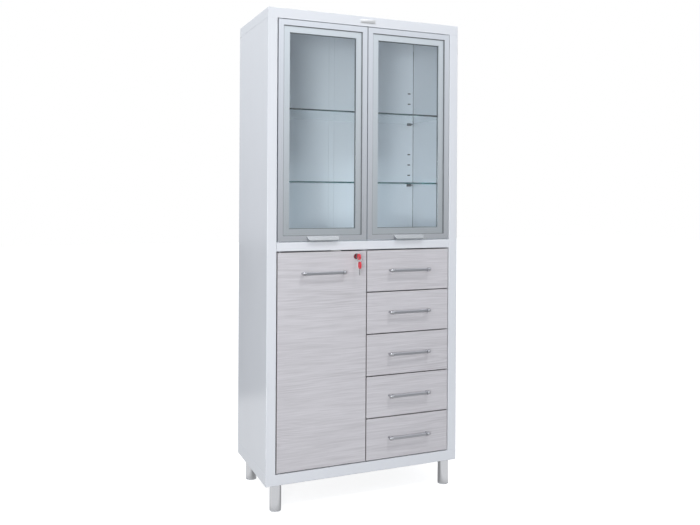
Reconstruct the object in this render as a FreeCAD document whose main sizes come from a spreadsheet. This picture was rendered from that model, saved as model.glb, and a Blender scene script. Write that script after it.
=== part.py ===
"""Medicine cabinet: sheet-steel body, two glass doors over a laminated door and five drawers, on four legs.

Millimetres. +X to the right, +Y to the back, +Z up.
The origin is on the floor, under the middle of the whole.
"""
import FreeCAD, Part
import os
import re
import Sketcher

DRAWER_COUNT = 5
HIGH_SHELF_SLOTS = 4
LOW_SHELF_SLOTS = 4
BACK_SCREWS = 4

# Driving dimensions, in millimetres
SIZES = {
    # body
    "body_width": 800.0,
    "body_depth": 406.0,
    "leg_height": 97.0,
    "base_height": 41.0,
    "lower_opening": 820.0,
    "mid_rail_height": 33.5,
    "upper_opening": 826.8,
    "cap_height": 37.5,
    "sheet": 1.2,
    "bend_radius": 2.5,
    "rebate_depth": 0.7,
    "rebate_height": 1.6,
    # folded stile at the front of each side panel, post at its back
    "stile_width": 37.5,
    "stile_depth": 40.0,
    "stile_lip_gap": 8.0,
    "post_width": 34.0,
    "post_lip": 25.0,
    "post_bend": 4.0,
    # back wall
    "back_recess": 21.0,
    "panel_lip": 22.0,
    "back_joint_width": 25.6,
    "joint_seam": 0.5,
    "post_seam": 0.1,
    "screw_radius": 2.0,
    "screw_length": 10.0,
    "screw_head_radius": 4.0,
    "screw_head_height": 2.5,
    "screw_inset": 20.0,
    "screw_end_margin": 90.0,
    # shelf slots, shelves and their clips
    "slot_width": 14.0,
    "slot_height": 5.0,
    "slot_pitch": 46.8,
    "slot_inset": 23.0,
    "high_shelf_height": 496.5,
    "low_shelf_height": 222.0,
    "shelf_glass": 6.0,
    "shelf_side_gap": 9.0,
    "shelf_end_gap": 3.0,
    "clip_width": 22.0,
    "clip_tongue": 11.0,
    "clip_gauge": 2.0,
    "clip_reach": 15.0,
    "clip_drop": 6.0,
    "steel_shelf_height": 400.0,
    "steel_shelf_edge": 22.0,
    # partition and drawer liner
    "partition_thickness": 20.0,
    "partition_setback": 2.0,
    "liner_flange": 25.0,
    # doors
    "door_gap": 3.0,
    "front_gap": 4.0,
    "lower_top_gap": 4.5,
    "front_thickness": 18.0,
    "front_edge_radius": 1.0,
    "pivot_inset": 12.0,
    "pivot_depth": 7.0,
    "pin_radius": 3.0,
    "pin_in_door": 12.0,
    "pin_in_body": 7.0,
    "pin_collar_radius": 5.5,
    "pin_collar_height": 1.0,
    "bush_radius": 5.0,
    "bush_length": 14.0,
    "fit_clearance": 0.05,
    # aluminium door frame
    "frame_depth": 22.0,
    "outer_band": 20.5,
    "band_step": 6.0,
    "inner_band": 25.0,
    "inner_band_depth": 8.0,
    "mitre_gap": 0.1,
    "pane_glass": 4.0,
    "pane_edge_gap": 2.0,
    "bead_width": 12.0,
    # lip pull on the glass doors
    "pull_width": 132.0,
    "pull_height": 18.0,
    "pull_reach": 13.0,
    "pull_gauge": 2.6,
    "pull_nose": 3.0,
    "pull_bottom_gap": 1.0,
    "pull_end_bevel": 7.0,
    # bar handles
    "handle_length": 178.0,
    "bar_height": 11.5,
    "bar_depth": 6.0,
    "bar_edge": 2.5,
    "handle_reach": 20.0,
    "handle_rise": 0.5,
    "knuckle_radius": 7.3,
    "knuckle_length": 14.0,
    "knuckle_edge": 6.0,
    "handle_leg_radius": 4.5,
    # magnetic catches
    "catch_width": 40.0,
    "catch_depth": 14.0,
    "catch_height": 15.0,
    "catch_gap": 0.5,
    "catch_inset": 30.0,
    # lock in the lower door
    "lock_inset": 42.5,
    "lock_drop": 20.5,
    "lock_flange": 4.0,
    "lock_flange_radius": 11.0,
    "lock_barrel_radius": 9.0,
    "lock_behind_door": 6.0,
    "lock_nut_across": 26.0,
    "lock_nut_height": 4.0,
    "plug_radius": 6.5,
    "plug_stub_radius": 4.0,
    "plug_head_radius": 5.5,
    "plug_head_height": 2.4,
    "cam_reach": 36.0,
    "cam_width": 12.0,
    "cam_gauge": 3.0,
    "cam_gap": 0.6,
    "cam_slot_gap": 2.5,
    # keys
    "bow_length": 27.0,
    "bow_height": 23.0,
    "bow_thickness": 5.0,
    "bow_corner": 11.4,
    "bow_hole_radius": 3.0,
    "bow_hole_edge": 5.0,
    "blade_width": 8.0,
    "blade_thickness": 2.2,
    "blade_length": 25.0,
    "key_shank": 9.0,
    "ring_radius": 10.0,
    "ring_wire_radius": 0.9,
    "ring_slack": 0.6,
    # drawers and their slides
    "slide_space": 12.7,
    "slide_height": 36.0,
    "slide_depth": 10.0,
    "slide_gauge": 1.5,
    "slide_gap": 0.4,
    "slide_length": 350.0,
    "slide_level": 48.0,
    "box_length": 345.0,
    "box_height": 112.0,
    "box_lift": 16.0,
    # legs
    "leg_radius": 21.5,
    "leg_wall": 1.5,
    "leg_cap": 4.0,
    "leg_side_inset": 45.0,
    "leg_front_inset": 25.0,
    "leg_back_inset": 44.0,
    "leg_bolt_radius": 5.0,
    "leg_bolt_length": 14.0,
    "leg_bolt_head_radius": 8.5,
    "leg_bolt_head_height": 6.0,
    "glide_height": 4.0,
    "glide_spigot": 10.0,
}

# Places worked out from the driving dimensions
PLACES = {
    "half_width": "body_width / 2",
    "inside_x": "half_width - sheet",
    "opening_x": "half_width - stile_width",
    "hole_reach": "lock_flange + key_shank + bow_length - bow_hole_edge",
    "front_reach": "hole_reach + bow_height / 2",
    "front_y": "(front_reach - body_depth - screw_head_height) / 2",
    "back_y": "front_y + body_depth",
    "stile_y": "front_y + stile_depth",
    "panel_y": "back_y - back_recess",
    "floor_z": "leg_height + base_height",
    "rail_low_z": "floor_z + lower_opening",
    "rail_high_z": "rail_low_z + mid_rail_height",
    "cap_low_z": "rail_high_z + upper_opening",
    "top_z": "cap_low_z + cap_height",
    "cap_inside_z": "top_z - sheet",
    "post_x": "inside_x - post_width",
    "panel_x": "post_x - post_seam",
    "joint_x": "back_joint_width / 2",
    "slot_x": "half_width - slot_inset",
    "screw_x": "half_width - screw_inset",
    "door_outer_x": "opening_x - door_gap",
    "door_inner_x": "door_gap / 2",
    "front_outer_x": "opening_x - front_gap",
    "front_inner_x": "front_gap / 2",
    "front_middle_x": "(front_outer_x + front_inner_x) / 2",
    "glass_low_z": "rail_high_z + door_gap",
    "glass_high_z": "cap_low_z - door_gap",
    "front_low_z": "floor_z + front_gap",
    "front_high_z": "rail_low_z - lower_top_gap",
    "front_back_y": "front_y + front_thickness",
    "frame_back_y": "front_y + frame_depth",
    "frame_width": "outer_band + inner_band",
    "pane_y": "front_y + band_step + inner_band_depth",
    "pane_back_y": "pane_y + pane_glass",
    "drawer_front_height":
        f"(front_high_z - front_low_z - {DRAWER_COUNT - 1} * front_gap) / {DRAWER_COUNT}",
    "drawer_pitch": "drawer_front_height + front_gap",
    "pivot_x": "door_outer_x - pivot_inset",
    "pivot_y": "front_y + pivot_depth",
    "partition_x": "partition_thickness / 2",
    "partition_y": "front_back_y + partition_setback",
    "lock_x": "-front_inner_x - lock_inset",
    "lock_z": "front_high_z - lock_drop",
    "barrel_back_y": "front_back_y + lock_behind_door",
    "cam_y": "barrel_back_y + cam_gap",
    "cam_back_y": "cam_y + cam_gauge",
    "hole_y": "front_y - hole_reach",
    "ring_drop": "bow_hole_radius - ring_wire_radius - ring_slack",
    "leg_x": "half_width - leg_side_inset",
    "front_leg_y": "front_y + leg_front_inset",
    "back_leg_y": "back_y - leg_back_inset",
    "box_left_x": "partition_x + slide_space",
    "box_right_x": "opening_x - slide_space",
}

SIDES = {"left": -1, "right": 1}

doc = FreeCAD.newDocument("medicine_cabinet")
nodes = []


def fill_sheet():
    """Writes the driving dimensions and the places into the document's sheet."""
    sheet = doc.addObject("Spreadsheet::Sheet", "sizes")
    rows = [(name, str(number)) for name, number in SIZES.items()]
    rows += [(name, "=" + text) for name, text in PLACES.items()]
    for row, (name, text) in enumerate(rows, start=1):
        sheet.set(f"A{row}", name)
        sheet.set(f"B{row}", text)
        sheet.setAlias(f"B{row}", name)
    doc.recompute()
    return sheet


def formula(text):
    """The same formula with each name of the sheet written in full."""
    def full(match):
        word = match.group()
        return f"sizes.{word}" if word in SIZES or word in PLACES else word
    return re.sub(r"[a-z]\w*", full, text)


def bind(thing, property_name, text):
    thing.setExpression(property_name, formula(text))


def number(text):
    return float(sheet.evalExpression(formula(text)))


def mirror(side, text):
    """The place on the given side of the middle."""
    return f"{SIDES[side]} * ({text})"


def node(thing, name):
    """Names a finished piece and puts it on the list of pieces to write."""
    thing.Label = name
    nodes.append(thing)
    return thing


def place(thing, x, y, z):
    for axis, text in zip("xyz", (x, y, z)):
        bind(thing, f"Placement.Base.{axis}", text)


def block(name, x, y, z):
    """A box between a low and a high place on each axis."""
    solid = doc.addObject("Part::Box", name)
    for side, (low, high) in zip(("Length", "Width", "Height"), (x, y, z)):
        bind(solid, side, f"({high}) - ({low})")
    place(solid, x[0], y[0], z[0])
    return solid


# Turns that lay an upright rod along an axis
ALONG = {
    "x": FreeCAD.Rotation(FreeCAD.Vector(0, 1, 0), 90),
    "y": FreeCAD.Rotation(FreeCAD.Vector(1, 0, 0), -90),
    "z": FreeCAD.Rotation(),
}


def rod(name, axis, radius, length, start):
    """A round rod that runs from its start in the positive direction of its axis."""
    solid = doc.addObject("Part::Cylinder", name)
    bind(solid, "Radius", radius)
    bind(solid, "Height", length)
    solid.Placement = FreeCAD.Placement(FreeCAD.Vector(), ALONG[axis])
    place(solid, *start)
    return solid


def group(name, members):
    """Separate solids kept together as one piece list."""
    together = doc.addObject("Part::Compound", name)
    together.Links = members
    return together


def join(name, members):
    solid = doc.addObject("Part::MultiFuse", name)
    solid.Shapes = members
    solid.Refine = True
    return solid


def cut(name, base, tools):
    solid = doc.addObject("Part::Cut", name)
    solid.Base = base
    solid.Tool = tools[0] if len(tools) == 1 else group(f"{name}_tools", tools)
    return solid


def new_body(name):
    return doc.addObject("PartDesign::Body", name)


def sketch_on(body, role, offset):
    """An empty sketch on one of the body's own planes, moved along the plane's normal."""
    sketch = body.newObject("Sketcher::SketchObject", f"{body.Name}_sketch")
    plane = next(item for item in body.Origin.OriginFeatures if item.Role == role)
    sketch.AttachmentSupport = [(plane, "")]
    sketch.MapMode = "FlatFace"
    bind(sketch, "AttachmentOffset.Base.z", offset)
    return sketch


def tie(sketch, kind, geometry, point, text):
    """Holds one point of the sketch at a distance from the sketch's origin."""
    constraint = Sketcher.Constraint(kind, -1, 1, geometry, point, number(text))
    index = sketch.addConstraint(constraint)
    sketch.setExpression(f"Constraints[{index}]", formula(text))


def outline(body, role, points, offset="0"):
    """A closed outline of straight lines through corners given as formulas."""
    sketch = sketch_on(body, role, offset)
    corners = [FreeCAD.Vector(number(u), number(v), 0) for u, v in points]
    count = len(corners)
    for index, corner in enumerate(corners):
        sketch.addGeometry(Part.LineSegment(corner, corners[(index + 1) % count]))
    for index, (u, v) in enumerate(points):
        sketch.addConstraint(Sketcher.Constraint("Coincident", index, 2, (index + 1) % count, 1))
        tie(sketch, "DistanceX", index, 1, u)
        tie(sketch, "DistanceY", index, 1, v)
    return sketch


def rectangle(body, role, across, up, offset="0"):
    (left, right), (low, high) = across, up
    return outline(body, role, [(left, low), (right, low), (right, high), (left, high)], offset)


def circle(body, role, centre, radius, offset="0"):
    sketch = sketch_on(body, role, offset)
    middle = FreeCAD.Vector(number(centre[0]), number(centre[1]), 0)
    sketch.addGeometry(Part.Circle(middle, FreeCAD.Vector(0, 0, 1), number(radius)))
    tie(sketch, "DistanceX", 0, 3, centre[0])
    tie(sketch, "DistanceY", 0, 3, centre[1])
    index = sketch.addConstraint(Sketcher.Constraint("Radius", 0, number(radius)))
    sketch.setExpression(f"Constraints[{index}]", formula(radius))
    return sketch


def feature(body, kind, sketch, length, reverse=False):
    """A pad or pocket of the sketch; reverse turns it to the other side of the sketch."""
    step = body.newObject(f"PartDesign::{kind}", f"{body.Name}_{kind.lower()}")
    step.Profile = sketch
    bind(step, "Length", length)
    step.Reversed = reverse
    return step


def revolve(body, sketch):
    step = body.newObject("PartDesign::Revolution", f"{body.Name}_revolution")
    step.Profile = sketch
    step.ReferenceAxis = (sketch, ["V_Axis"])
    step.Angle = 360
    return step


def edges_at(shape, **places):
    """The edges whose ends all lie at the given x, y or z."""
    nearness = 0.001
    wanted = {axis: number(text) for axis, text in places.items()}
    found = []
    for index, edge in enumerate(shape.Edges, start=1):
        ends = [vertex.Point for vertex in edge.Vertexes]
        if all(abs(getattr(end, axis) - at) < nearness for end in ends for axis, at in wanted.items()):
            found.append(f"Edge{index}")
    return found


def round_edges(body, base, edges, radius):
    step = body.newObject("PartDesign::Fillet", f"{body.Name}_fillet")
    step.Base = (base, edges)
    bind(step, "Radius", radius)
    return step


# Level of each glass shelf, and how many slots there are from it upwards
GLASS_SHELVES = (
    ("rail_high_z + high_shelf_height", HIGH_SHELF_SLOTS),
    ("rail_high_z + low_shelf_height", LOW_SHELF_SLOTS))


def shelf_slots(name, side, y):
    """Cutters for the groups of shelf slots beside one corner of the body."""
    cutters = []
    for level_index, (level, slot_count) in enumerate(GLASS_SHELVES):
        for step in range(slot_count):
            top = f"{level} + {step} * slot_pitch + clip_gauge / 4"
            middle = mirror(side, "slot_x")
            cutters.append(block(
                f"{name}_slot_{level_index}_{step}",
                (f"{middle} - slot_width / 2", f"{middle} + slot_width / 2"),
                (f"{y} - 2 * sheet", f"{y} + 2 * sheet"),
                (f"{top} - slot_height", top)))
    return cutters


SCREW_LEVELS = [
    f"floor_z + screw_end_margin + {index} / {BACK_SCREWS - 1}"
    " * (cap_low_z - floor_z - 2 * screw_end_margin)"
    for index in range(BACK_SCREWS)]


def screw_holes(name, side):
    """Cutters for the screws that hold the back wall to a side panel's rear post."""
    return [
        rod(f"{name}_hole_{index}", "y", "screw_radius + fit_clearance", "3 * sheet",
            (mirror(side, "screw_x"), "back_y - 2.5 * sheet", level))
        for index, level in enumerate(SCREW_LEVELS)]


def end_rebates(name, side):
    """Cutters for the shallow step round the top and bottom of a side panel's outer face."""
    outer, face = mirror(side, "half_width"), mirror(side, "half_width - rebate_depth")
    inner = mirror(side, "opening_x")
    cutters = []
    for end, low in (("bottom", "floor_z"), ("top", "cap_low_z - rebate_height")):
        rise = (low, f"{low} + rebate_height")
        cutters.append(block(f"{name}_rebate_side_{end}", sorted((outer, face), key=number),
                             ("front_y", "back_y"), rise))
        cutters.append(block(f"{name}_rebate_front_{end}", sorted((outer, inner), key=number),
                             ("front_y", "front_y + rebate_depth"), rise))
    return cutters


def side_panel(side):
    """Folded side: skin with a box-shaped stile at the front, and a slotted post at the back."""
    name = f"side_panel_{side}"
    skin = new_body(f"{name}_skin")
    points = [
        ("half_width - stile_lip_gap", "stile_y"),
        ("opening_x", "stile_y"),
        ("opening_x", "front_y"),
        ("half_width", "front_y"),
        ("half_width", "back_y"),
        ("inside_x", "back_y"),
        ("inside_x", "front_y + sheet"),
        ("opening_x + sheet", "front_y + sheet"),
        ("opening_x + sheet", "stile_y - sheet"),
        ("half_width - stile_lip_gap", "stile_y - sheet"),
    ]
    sketch = outline(skin, "XY_Plane", [(mirror(side, x), y) for x, y in points], "floor_z")
    folded = feature(skin, "Pad", sketch, "cap_low_z - floor_z")
    doc.recompute()
    bends = edges_at(folded.Shape, x=mirror(side, "half_width"), y="front_y")
    bends += edges_at(folded.Shape, x=mirror(side, "opening_x"), y="front_y")
    round_edges(skin, folded, bends, "bend_radius")
    cutters = shelf_slots(f"{name}_stile", side, "stile_y") + end_rebates(name, side)
    slotted_skin = cut(f"{name}_slotted_skin", skin, cutters)

    post = new_body(f"{name}_post")
    points = [
        ("post_x", "panel_y"),
        ("inside_x", "panel_y"),
        ("inside_x", "back_y"),
        ("inside_x - post_lip", "back_y"),
        ("inside_x - post_lip", "back_y - sheet"),
        ("inside_x - sheet", "back_y - sheet"),
        ("inside_x - sheet", "panel_y + sheet"),
        ("post_x", "panel_y + sheet"),
    ]
    sketch = outline(post, "XY_Plane", [(mirror(side, x), y) for x, y in points], "floor_z")
    feature(post, "Pad", sketch, "cap_low_z - floor_z")
    points = [
        ("post_x", "panel_y"),
        ("inside_x", "panel_y"),
        ("inside_x", "back_y - sheet"),
        ("inside_x - sheet", "back_y - sheet"),
        ("inside_x - sheet", "panel_y + sheet"),
        ("post_x", "panel_y + sheet"),
    ]
    sketch = outline(post, "XY_Plane", [(mirror(side, x), y) for x, y in points], "cap_low_z")
    folded = feature(post, "Pad", sketch, "cap_inside_z - cap_low_z")
    doc.recompute()
    outside = edges_at(folded.Shape, x=mirror(side, "inside_x"), y="panel_y")
    bent = round_edges(post, folded, outside, "post_bend")
    doc.recompute()
    inside = edges_at(bent.Shape, x=mirror(side, "inside_x - sheet"), y="panel_y + sheet")
    round_edges(post, bent, inside, "post_bend - sheet")
    cutters = shelf_slots(f"{name}_post", side, "panel_y") + screw_holes(f"{name}_post", side)
    slotted_post = cut(f"{name}_slotted_post", post, cutters)
    node(group(name, [slotted_skin, slotted_post]), name)


def back_panel(side):
    """One half of the back wall: a tray that opens to the back, screwed inside the side panel's post."""
    name = f"back_panel_{side}"
    body = new_body(f"{name}_sheet")
    lip_y = "back_y - sheet"
    points = [
        ("joint_x", "panel_y"),
        ("panel_x", "panel_y"),
        ("panel_x", f"{lip_y} - sheet"),
        ("panel_x + panel_lip", f"{lip_y} - sheet"),
        ("panel_x + panel_lip", lip_y),
        ("panel_x - sheet", lip_y),
        ("panel_x - sheet", "panel_y + sheet"),
        ("joint_x + sheet", "panel_y + sheet"),
        ("joint_x + sheet", f"{lip_y} - sheet"),
        ("joint_x", f"{lip_y} - sheet"),
    ]
    sketch = outline(body, "XY_Plane", [(mirror(side, x), y) for x, y in points], "floor_z")
    feature(body, "Pad", sketch, "cap_inside_z - floor_z")
    node(cut(name, body, screw_holes(name, side)), name)


def back_center_channel():
    """Channel that joins the two halves of the back wall."""
    name = "back_center_channel"
    body = new_body(name)
    half = "(joint_x - joint_seam)"
    end_y = "back_y - 2 * sheet"
    points = [
        (f"-{half}", "panel_y"),
        (half, "panel_y"),
        (half, end_y),
        (f"{half} - sheet", end_y),
        (f"{half} - sheet", "panel_y + sheet"),
        (f"sheet - {half}", "panel_y + sheet"),
        (f"sheet - {half}", end_y),
        (f"-{half}", end_y),
    ]
    sketch = outline(body, "XY_Plane", points, "floor_z")
    feature(body, "Pad", sketch, "cap_inside_z - floor_z")
    node(body, name)


def shell_box(name, low_z, high_z, open_below):
    """A shallow sheet-steel box over the whole body, with rounded outer bends and one open side."""
    body = new_body(name)
    outer = rectangle(body, "XY_Plane", ("-half_width", "half_width"), ("front_y", "back_y"), low_z)
    solid = feature(body, "Pad", outer, f"{high_z} - {low_z}")
    doc.recompute()
    closed_z = high_z if open_below else low_z
    bends = edges_at(solid.Shape, z=closed_z)
    for x in ("-half_width", "half_width"):
        for y in ("front_y", "back_y"):
            bends += edges_at(solid.Shape, x=x, y=y)
    round_edges(body, solid, bends, "bend_radius")
    inner = rectangle(
        body, "XY_Plane", ("-inside_x", "inside_x"), ("front_y + sheet", "back_y - sheet"),
        low_z if open_below else high_z)
    feature(body, "Pocket", inner, f"{high_z} - {low_z} - sheet", reverse=open_below)
    return body


def pivot_holes(name, sides, z):
    """Cutters for pivot pins through a sheet that starts at the given height."""
    return [
        rod(f"{name}_pivot_hole_{side}", "z", "pin_radius + fit_clearance", "sheet",
            (mirror(side, "pivot_x"), "pivot_y", z))
        for side in sides]


def top_cap():
    """Cap, and the folded header inside its front that carries the upper pivot pins and catches."""
    node(shell_box("top_cap", "cap_low_z", "top_z", open_below=True), "top_cap")
    header = new_body("cap_header_sheet")
    points = [
        ("front_y + sheet", "cap_low_z"),
        ("stile_y", "cap_low_z"),
        ("stile_y", "cap_inside_z"),
        ("stile_y - sheet", "cap_inside_z"),
        ("stile_y - sheet", "cap_low_z + sheet"),
        ("front_y + sheet", "cap_low_z + sheet"),
    ]
    feature(header, "Pad", outline(header, "YZ_Plane", points, "-inside_x"), "2 * inside_x")
    node(cut("cap_header", header, pivot_holes("header", SIDES, "cap_low_z")), "cap_header")


def leg_places():
    """Name and place of each leg's axis."""
    return [
        (f"{row}_{side}", mirror(side, "leg_x"), f"{row}_leg_y")
        for row in ("front", "back") for side in SIDES]


def base():
    tray = shell_box("base_tray_sheet", "leg_height", "floor_z", open_below=False)
    holes = [
        rod(f"base_hole_{name}", "z", "leg_bolt_radius + fit_clearance", "sheet", (x, y, "leg_height"))
        for name, x, y in leg_places()]
    node(cut("base_tray", tray, holes), "base_tray")
    floor = new_body("floor_panel_sheet")
    outer = rectangle(
        floor, "XY_Plane", ("-inside_x", "inside_x"), ("front_y + sheet", "back_y - sheet"),
        "leg_height + sheet")
    feature(floor, "Pad", outer, "base_height - sheet")
    inner = rectangle(
        floor, "XY_Plane", ("sheet - inside_x", "inside_x - sheet"),
        ("front_y + 2 * sheet", "back_y - 2 * sheet"), "leg_height + sheet")
    feature(floor, "Pocket", inner, "base_height - 2 * sheet", reverse=True)
    holes = pivot_holes("floor", ["left"], "floor_z - sheet")
    node(cut("floor_panel", floor, holes), "floor_panel")


def mid_deck():
    """Folded deck between the upper and lower parts: two skins and a rounded front rail."""
    name = "mid_deck"
    body = new_body(f"{name}_sheet")
    points = [
        ("front_y", "rail_low_z"),
        ("front_y", "rail_high_z"),
        ("panel_y", "rail_high_z"),
        ("panel_y", "rail_high_z - sheet"),
        ("front_y + sheet", "rail_high_z - sheet"),
        ("front_y + sheet", "rail_low_z + sheet"),
        ("panel_y", "rail_low_z + sheet"),
        ("panel_y", "rail_low_z"),
    ]
    rail = feature(body, "Pad", outline(body, "YZ_Plane", points, "-opening_x"), "2 * opening_x")
    doc.recompute()
    bends = edges_at(rail.Shape, y="front_y", z="rail_low_z")
    bends += edges_at(rail.Shape, y="front_y", z="rail_high_z")
    round_edges(body, rail, bends, "bend_radius")
    for side in SIDES:
        for skin_z in ("rail_low_z", "rail_high_z - sheet"):
            wing = rectangle(
                body, "XY_Plane", (mirror(side, "opening_x"), mirror(side, "inside_x")),
                ("stile_y", "panel_y"), skin_z)
            feature(body, "Pad", wing, "sheet")
    cutters = pivot_holes("deck_top", SIDES, "rail_high_z - sheet")
    cutters += pivot_holes("deck_bottom", ["left"], "rail_low_z")
    cutters.append(block(
        "cam_slot",
        ("lock_x - cam_reach", "lock_x + cam_width / 2 + cam_slot_gap"),
        ("cam_y - cam_slot_gap", "cam_back_y + cam_slot_gap"),
        ("rail_low_z", "rail_low_z + sheet")))
    node(cut(name, body, cutters), name)


def lower_partition():
    """Hollow upright panel between the lower compartment and the drawers."""
    name = "lower_partition"
    body = new_body(name)
    outer = rectangle(
        body, "XY_Plane", ("-partition_x", "partition_x"), ("partition_y", "panel_y"), "floor_z")
    feature(body, "Pad", outer, "lower_opening")
    inner = rectangle(
        body, "XY_Plane", ("sheet - partition_x", "partition_x - sheet"),
        ("partition_y + sheet", "panel_y - sheet"), "floor_z")
    feature(body, "Pocket", inner, "lower_opening", reverse=True)
    node(body, name)


def drawer_liner():
    """Channel on the right that carries the drawer slides in line with the stile."""
    name = "drawer_liner"
    body = new_body(name)
    flange_x = "opening_x + liner_flange"
    points = [
        ("opening_x", "stile_y"),
        (flange_x, "stile_y"),
        (flange_x, "stile_y + sheet"),
        ("opening_x + sheet", "stile_y + sheet"),
        ("opening_x + sheet", "panel_y - sheet"),
        (flange_x, "panel_y - sheet"),
        (flange_x, "panel_y"),
        ("opening_x", "panel_y"),
    ]
    feature(body, "Pad", outline(body, "XY_Plane", points, "floor_z"), "lower_opening")
    node(body, name)


def glass_shelves():
    shelves = [
        block(f"glass_shelf_{index}",
              ("shelf_side_gap - inside_x", "inside_x - shelf_side_gap"),
              ("stile_y + shelf_end_gap", "panel_y - shelf_end_gap"),
              (level, f"{level} + shelf_glass"))
        for index, (level, _) in enumerate(GLASS_SHELVES)]
    node(group("glass_shelves", shelves), "glass_shelves")


def steel_shelf_range():
    """Left and right edge of the steel shelf in the lower compartment."""
    return "shelf_side_gap - inside_x", "-partition_x - shelf_end_gap"


def lower_shelf():
    """Steel shelf with turned-down edges."""
    name = "lower_shelf"
    body = new_body(name)
    left, right = steel_shelf_range()
    low = "floor_z + steel_shelf_height"
    outer = rectangle(
        body, "XY_Plane", (left, right), ("stile_y + shelf_end_gap", "panel_y - shelf_end_gap"), low)
    feature(body, "Pad", outer, "steel_shelf_edge")
    inner = rectangle(
        body, "XY_Plane", (f"{left} + sheet", f"{right} - sheet"),
        ("stile_y + shelf_end_gap + sheet", "panel_y - shelf_end_gap - sheet"), low)
    feature(body, "Pocket", inner, "steel_shelf_edge - sheet", reverse=True)
    node(body, name)


def clip(name, x, wall_y, facing, shelf_z, tongue):
    """Angle clip under a shelf corner, with a tongue through the wall's slot."""
    def span(start, end):
        near, far = (f"{wall_y} + {facing} * ({depth})" for depth in (start, end))
        return (near, far) if facing > 0 else (far, near)

    across = (f"{x} - clip_width / 2", f"{x} + clip_width / 2")
    tab_z = (f"{shelf_z} - clip_gauge", shelf_z)
    solids = [
        block(f"{name}_tab", across, span("0", "clip_reach"), tab_z),
        block(f"{name}_leg", across, span("0", "clip_gauge"), (f"{shelf_z} - clip_drop", shelf_z))]
    if tongue:
        through = (f"{x} - clip_tongue / 2", f"{x} + clip_tongue / 2")
        solids.append(block(f"{name}_tongue", through, span("-2 * sheet", "clip_gauge"), tab_z))
    return join(name, solids)


def shelf_clips():
    clips = []
    for index, (level, _) in enumerate(GLASS_SHELVES):
        for side in SIDES:
            x = mirror(side, "slot_x")
            clips.append(clip(f"clip_front_{side}_{index}", x, "stile_y", 1, level, True))
            clips.append(clip(f"clip_back_{side}_{index}", x, "panel_y", -1, level, True))
    steel_z = "floor_z + steel_shelf_height"
    for x, place_name in (("-slot_x", "outer"), ("-partition_x - clip_width", "inner")):
        clips.append(clip(f"bracket_back_{place_name}", x, "panel_y", -1, steel_z, False))
    clips.append(clip("bracket_front_outer", "-slot_x", "stile_y", 1, steel_z, False))
    side_bracket = block(
        "bracket_front_inner", ("-partition_x - clip_reach", "-partition_x"),
        ("stile_y + shelf_end_gap", "stile_y + shelf_end_gap + clip_width"),
        (f"{steel_z} - clip_gauge", steel_z))
    clips.append(side_bracket)
    node(group("shelf_clips", clips), "shelf_clips")


def pivot_pin(name, side, sheet_z, up):
    """Pin through one sheet, with a collar on the door's side; up means that the door is above."""
    x = mirror(side, "pivot_x")
    low = f"{sheet_z} - pin_in_body" if up else f"{sheet_z} - {door_gap_at(name)} - pin_in_door"
    length = f"pin_in_body + {door_gap_at(name)} + pin_in_door"
    collar = sheet_z if up else f"{sheet_z} - pin_collar_height"
    shank = rod(f"{name}_shank", "z", "pin_radius", length, (x, "pivot_y", low))
    ring = rod(f"{name}_collar", "z", "pin_collar_radius", "pin_collar_height", (x, "pivot_y", collar))
    return join(name, [shank, ring])


def door_gap_at(pin_name):
    """The reveal that a pin crosses."""
    lower_reveals = {"pin_lower_top": "lower_top_gap", "pin_lower_bottom": "front_gap"}
    return lower_reveals.get(pin_name, "door_gap")


def pivot_pins():
    pins = []
    for side in SIDES:
        pins.append(pivot_pin(f"pin_{side}_top", side, "cap_low_z", False))
        pins.append(pivot_pin(f"pin_{side}_bottom", side, "rail_high_z", True))
    pins.append(pivot_pin("pin_lower_top", "left", "rail_low_z", False))
    pins.append(pivot_pin("pin_lower_bottom", "left", "floor_z", True))
    node(group("pivot_pins", pins), "pivot_pins")


def door_bushes(door, side, low_z, high_z):
    """Bushes flush with the ends of a door's hinge edge, and the bores that hold them."""
    x = mirror(side, "pivot_x")
    bushes, bores = [], []
    for end, start in (("bottom", low_z), ("top", f"{high_z} - bush_length")):
        at = (x, "pivot_y", start)
        outside = rod(f"{door}_bush_{end}_outside", "z", "bush_radius", "bush_length", at)
        inside = rod(f"{door}_bush_{end}_inside", "z", "pin_radius + fit_clearance", "bush_length", at)
        bushes.append(cut(f"{door}_bush_{end}", outside, [inside]))
        bores.append(rod(f"{door}_bore_{end}", "z", "bush_radius + fit_clearance", "bush_length", at))
    node(group(f"{door}_bushes", bushes), f"{door}_bushes")
    return bores


def frame_member(name, bands):
    """One mitred length of door frame: a raised outer band and a recessed inner band."""
    body = new_body(name)
    outer, inner = bands
    feature(body, "Pad", outline(body, "XZ_Plane", outer, "-front_y"), "frame_depth", reverse=True)
    sketch = outline(body, "XZ_Plane", inner, "-(front_y + band_step)")
    feature(body, "Pad", sketch, "inner_band_depth", reverse=True)
    return body


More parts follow.
